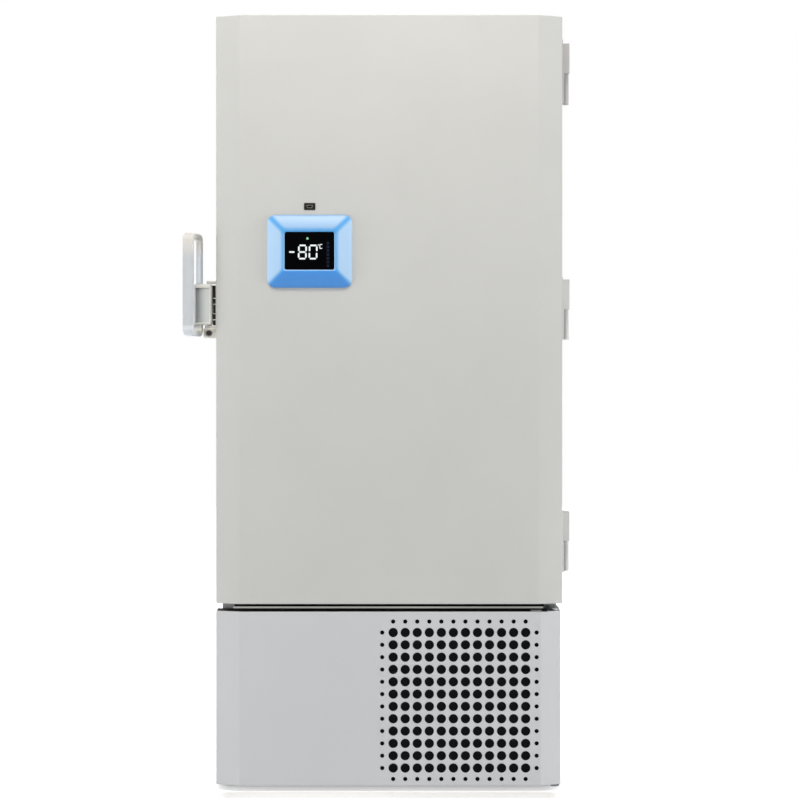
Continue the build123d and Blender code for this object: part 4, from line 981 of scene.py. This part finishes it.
# painted shade: dark blocks in the gap behind the handle's body
addPiece(
    "latch_links",
    boxes(links["round"], *(
        (links["left"] + inset, links["right"], links["front"], links["back"], bottom, top)
        for bottom, top, inset in links["rows"]
    )),
    cloudy("latchLinks", (34, 36, 38), 12, (0.4, 0.55)), "outer_door",
)
print("handle ready")


# hinges: the door's leaves softened, and round knuckles in place of the cabinet's flat-sided ones

softCopy("hinge_door_leaves", "hinge_door_blocks", "hinge_paint", 1.0)
softCopy("latch_strike", "latch_strike_plate", "stainless", 0.7)

hinge = {
    "centres": (632, 1233, 1844), "axis": (458, -395), "radius": 8.5, "half": 77.5, "pin": 5.2, "gap": 0.5,
    "leaf": (435.3, 439, -395, -340), "arm": (1.5, 0.4, 6, 0.6), "leafRound": 0.8,
    "strip": (443.5, 450.6, -452, -404), "shade": (450.6, 454.8, -440, -404.4), "stripRound": 0.9,
}


def roundKnuckles():  # the cabinet's round knuckles with their arms and leaves
    bm = bmesh.new()
    (x, y), radius, pin = hinge["axis"], hinge["radius"], hinge["pin"]
    left, right, near, far = hinge["leaf"]
    fromLeft, fromPin, deep, inset = hinge["arm"]
    for centre in hinge["centres"]:
        low, high = centre - hinge["half"], centre - hinge["gap"]
        turned(bm, [
            (pin, low), (radius - 0.9, low), (radius - 0.2, low + 0.4), (radius, low + 1.2),
            (radius, high - 1.2), (radius - 0.2, high - 0.4), (radius - 0.9, high), (pin, high), (pin, low),
        ], (x, y, 0), (0, 0, 1), 36)
        arm = (left + fromLeft, y, low + inset), (x - pin - fromPin, y + deep, high - inset)
        softBlock(bm, *arm, hinge["leafRound"])
        softBlock(bm, (left, near, low), (right, far, high), hinge["leafRound"])
    return bm


def sideStrips(across, inset):  # plates beside the round knuckles
    return boxes(hinge["stripRound"], *(
        (*across, centre - hinge["half"] + inset, centre + 1 - inset) for centre in hinge["centres"]
    ))


addPiece(
    "hinge_round_knuckles", roundKnuckles(), finishes["hinge_paint"], "cabinet",
    ["hinge_cabinet_leaves"],
)
addPiece(
    "hinge_leaf_tails", sideStrips(hinge["strip"], 0), finishes["hinge_paint"], "outer_door"
)
# painted shade: grey strips in the groove between the door's leaf and the knuckle
addPiece(
    "hinge_groove_shade_strips", sideStrips(hinge["shade"], 2),
    cloudy("hingeGrooveShade", (158, 157, 159), 8, (0.5, 0.6), Specular_IOR_Level=0.2), "outer_door",
)
print("hinges ready")


# the dark gap between the doors, with painted shade and painted light pieces in it

gap = {  # boxes from left to right, front to back and bottom to top
    # painted light and shade in the gap: lip is a pale strip of painted light, dark a strip of painted
    # shade, and seal the outline of a painted shade on the flange
    "lip": (-402, 402, -387.4, -385.4, 450.5, 460.0), "dark": (-402, 402, -387.8, -386.0, 461.0, 479.0),
    "tabs": ((362, 389, -507, -478, 459.6, 461.0), (362, 389, -425, -408, 459.1, 460.2)),
    "seal": ((-438, -430), (-438, -482), (-379, -506), (404, -506), (404, -430)),
    "shadeStripHeights": (459.0, 459.9), "upstand": (-404, 802),
    "section": ((-431.2, 459.1), (-430.6, 464.6), (-429.8, 464.6), (-430.2, 459.1)),
}


def flangeShadeStrip():  # a thin dark strip along the access door's upper flange, a painted shade for the flange in shadow
    low, high = gap["shadeStripHeights"]
    bm = prism([(x, y, low) for x, y in gap["seal"]], (0, 0, high - low))
    bevel(bm, sharpEdges(bm, 60), 0.25)
    return bm


def upstand():  # a bright bent edge along the flange, leaning back a little
    left, length = gap["upstand"]
    bm = prism([(left, y, z) for y, z in gap["section"]], (length, 0, 0))
    bevel(bm, sharpEdges(bm, 40), 0.2, 1)
    return bm


# a paler steel than the galvanised sill, a painted light on the lip and the tabs in the shaded gap
sillPaintedLight = cloudy("sillPaintedLight", (168, 169, 164), 20, (0.35, 0.5), Metallic=0.1)
for name, bm, finish, body, slotName in (
    # painted shade on the access door's upper flange
    ("access_door_top_shade_strip", flangeShadeStrip(),
     cloudy("flangeShadeStripPaint", (22, 20, 19), 5, (0.5, 0.65), Specular_IOR_Level=0.15), "access_door", "seal"),
    # painted light on the sill's lip
    ("sill_painted_light_lip", boxes(0.6, gap["lip"]), sillPaintedLight, "cabinet", "galvanised"),
    # painted shade: a dark strip on the cabinet above the sill's lip
    ("sill_shadow_strip", boxes(0.5, gap["dark"]),
     cloudy("sillShadowStrip", (26, 26, 24), 6, (0.5, 0.65), Specular_IOR_Level=0.15), "cabinet", "seal"),
    ("access_door_upstand", upstand(),
     cloudy("brightSteel", (176, 177, 172), 30, (0.16, 0.24), Metallic=1.0), "access_door", "galvanised"),
    ("access_door_tabs", boxes(0.3, *gap["tabs"]), sillPaintedLight, "access_door", "galvanised"),
):
    addPiece(name, bm, finish, body)
print("gap ready")


# cabinet, chamber and machine bay, their edges softened by each row's width

for node, name, slotName, width in (
    ("side_panel_left", "cabinet_side_left", "cabinet_paint", 1.6),
    ("side_panel_right", "cabinet_side_right", "cabinet_paint", 1.6),
    ("top_panel", "cabinet_top", "cabinet_paint", 1.2),
    ("back_panel", "cabinet_back", "galvanised", 0.6),
    ("rear_grille_panel", "machine_bay_grille", "galvanised", 0.5),
    ("base_pan", "machine_bay_pan", "galvanised", 0.6),
    ("access_hinge_brackets", "access_brackets", "galvanised", 0.5),
    ("breaker_frame", "breaker_moulding", "white_plastic", 2.0),
    ("door_inner_panel", "door_liner", "white_plastic", 2.5),
    ("door_gasket", "door_seal", "seal", 2.5),
    ("inner_liner", "chamber_liner", "stainless", 1.5),
    ("shelves", "shelf_plates", "stainless", 0.5),
    ("control_box", "control_housing", "galvanised", 0.8),
    ("backup_battery", "battery_block", "black_plastic", 2.5),
    ("wall_bumpers", "wall_bumper_blocks", "black_plastic", 2.5),
    ("power_inlet", "inlet_housing", "black_plastic", 0.6),
    ("power_switch", "rocker_switch", "black_plastic", 0.4),
    ("access_port_sleeve", "port_sleeve", "white_plastic", 0.8),
    ("fan_motor", "fan_motor_body", "black_plastic", 1.0),
    ("caster_plates", "caster_top_plates", "galvanised", 0.6),
    ("fan_shroud", "fan_cowl", "galvanised", 0.8),
    ("fan_blade", "fan_rotor", "black_plastic", 0.6),
    ("condenser_coil", "condenser_block", "aluminium_fins", 0.4),
    ("refrigerant_circuit", "copper_lines", "copper", 2.4),
    ("front_sill", "sill_bar", "galvanised", 0.8),
):
    softCopy(node, name, slotName, width)
for number, place in enumerate(("lowest", "second", "third", "highest"), 1):
    softCopy(f"inner_door_{number}", f"inner_door_{place}", "white_plastic", 1.5)
print("cabinet shell ready")


# casters: turned wheels, pressed forks and brake pedals

caster = {
    "x": 330, "height": 37.5, "half": 15, "axles": {"front": -255, "rear": 315}, "steps": 48,
    "tread": (  # from the bore out over the hub and web to the tread: radius, and how far in from the side
        (4.2, 1.5), (11, 1.5), (12, 3.5), (24, 4.5), (27, 1.2), (31, 0.4), (34.5, 1.6), (36.8, 4.6),
        (37.5, 9),
    ),
}
tyre = cloudy("tyreRubber", (96, 98, 101), 9, (0.5, 0.65), 500, 0.08)


def casterWheel(x, y):
    half, tread = caster["half"], caster["tread"]
    profile = [(radius, inset - half) for radius, inset in tread]
    profile += [(radius, half - inset) for radius, inset in reversed(tread)]
    bm = bmesh.new()
    turned(bm, profile + profile[:1], (x, y, caster["height"]), (1, 0, 0), caster["steps"])
    return bm


for end, y in caster["axles"].items():
    for side, hand in ((-1, "left"), (1, "right")):
        wheel = f"wheel_{end}_{hand}"
        addPiece(
            f"{wheel}_tyre", casterWheel(side * caster["x"], y), tyre, wheel,
            [f"caster_{wheel}"], flat=False,
        )
        softCopy(f"caster_fork_{end}_{hand}", f"fork_{end}_{hand}", "galvanised", 0.8)
    print("casters ready:", end)
for hand in ("left", "right"):
    softCopy(f"caster_brake_front_{hand}", f"brake_pedal_{hand}", "black_plastic", 0.8)


# compressors: oval cans with a waist seam, a domed top and foot rails

compressor = {
    "places": ((-255, -190), (-255, 150)), "length": 210, "width": 150, "base": 103, "foot": 12,
    "profile": (  # inset from the widest outline and height above the foot
        (14, 0), (5, 3), (1.5, 10), (1.5, 89), (0, 90), (0, 94), (2.5, 95), (2.5, 135), (5, 147), (12, 160),
        (24, 169), (42, 174), (55, 175),
    ),
    "rail": (75, 12, 60), "railRound": 1.5, "steps": 12,
}


def ovalRing(bm, place, inset, height):  # a ring of points on a stadium-shaped outline
    radius, steps = compressor["width"] / 2 - inset, compressor["steps"]
    straight = (compressor["length"] - compressor["width"]) / 2
    points = []
    for side, start in ((1, -90), (-1, 90)):
        for step in range(steps + 1):
            angle = math.radians(start + 180 * step / steps)
            x = place[0] + side * straight + radius * math.cos(angle)
            points.append((x, place[1] + radius * math.sin(angle), height))
    return [bm.verts.new([c * mm for c in point]) for point in points]


def compressorCans():
    bm = bmesh.new()
    base = compressor["base"] + compressor["foot"]
    half, railHalf, railMiddle = compressor["rail"]
    for place in compressor["places"]:
        rings = [ovalRing(bm, place, inset, base + height) for inset, height in compressor["profile"]]
        for low, high in zip(rings, rings[1:]):
            for i in range(len(low)):
                j = (i + 1) % len(low)
                bm.faces.new((low[i], low[j], high[j], high[i]))
        bm.faces.new(rings[0][::-1])
        bm.faces.new(rings[-1])
        for middle in (place[1] - railMiddle, place[1] + railMiddle):
            softBlock(
                bm, (place[0] - half, middle - railHalf, compressor["base"]),
                (place[0] + half, middle + railHalf, base + 2), compressor["railRound"],
            )
    bmesh.ops.recalc_face_normals(bm, faces=bm.faces)
    return bm


addPiece(
    "compressor_cans", compressorCans(), finishes["black_iron"], "cabinet", ["compressors"],
    angle=32,
)
print("machine bay ready")


# pulls on the inner doors

pull = {
    "front": -387, "doors": ((590.5, 910.5), (915.5, 1235.5), (1240.5, 1560.5), (1565.5, 1885.5)),
    "left": -280, "right": -262, "half": 40, "out": 3.6, "plate": (0.8, 1), "plateRound": 0.4,
    "lip": (3, 7, 8), "lipRound": 1.2,
}


def innerPull(middle):  # a plate with a raised lip to take hold of
    bm = bmesh.new()
    left, right, front, half = pull["left"], pull["right"], pull["front"], pull["half"]
    (before, behind), (lipLeft, lipRight, inset) = pull["plate"], pull["lip"]
    low, high = middle - half, middle + half
    softBlock(bm, (left, front - before, low), (right, front + behind, high), pull["plateRound"])
    softBlock(
        bm, (left + lipLeft, front - pull["out"], low + inset), (left + lipRight, front, high - inset),
        pull["lipRound"], 3,
    )
    return bm


for number, (low, high) in enumerate(pull["doors"], 1):
    addPiece(
        f"inner_door_{number}_pull", innerPull((low + high) / 2), finishes["stainless"],
        f"inner_door_{number}",
    )
print("inner doors ready")
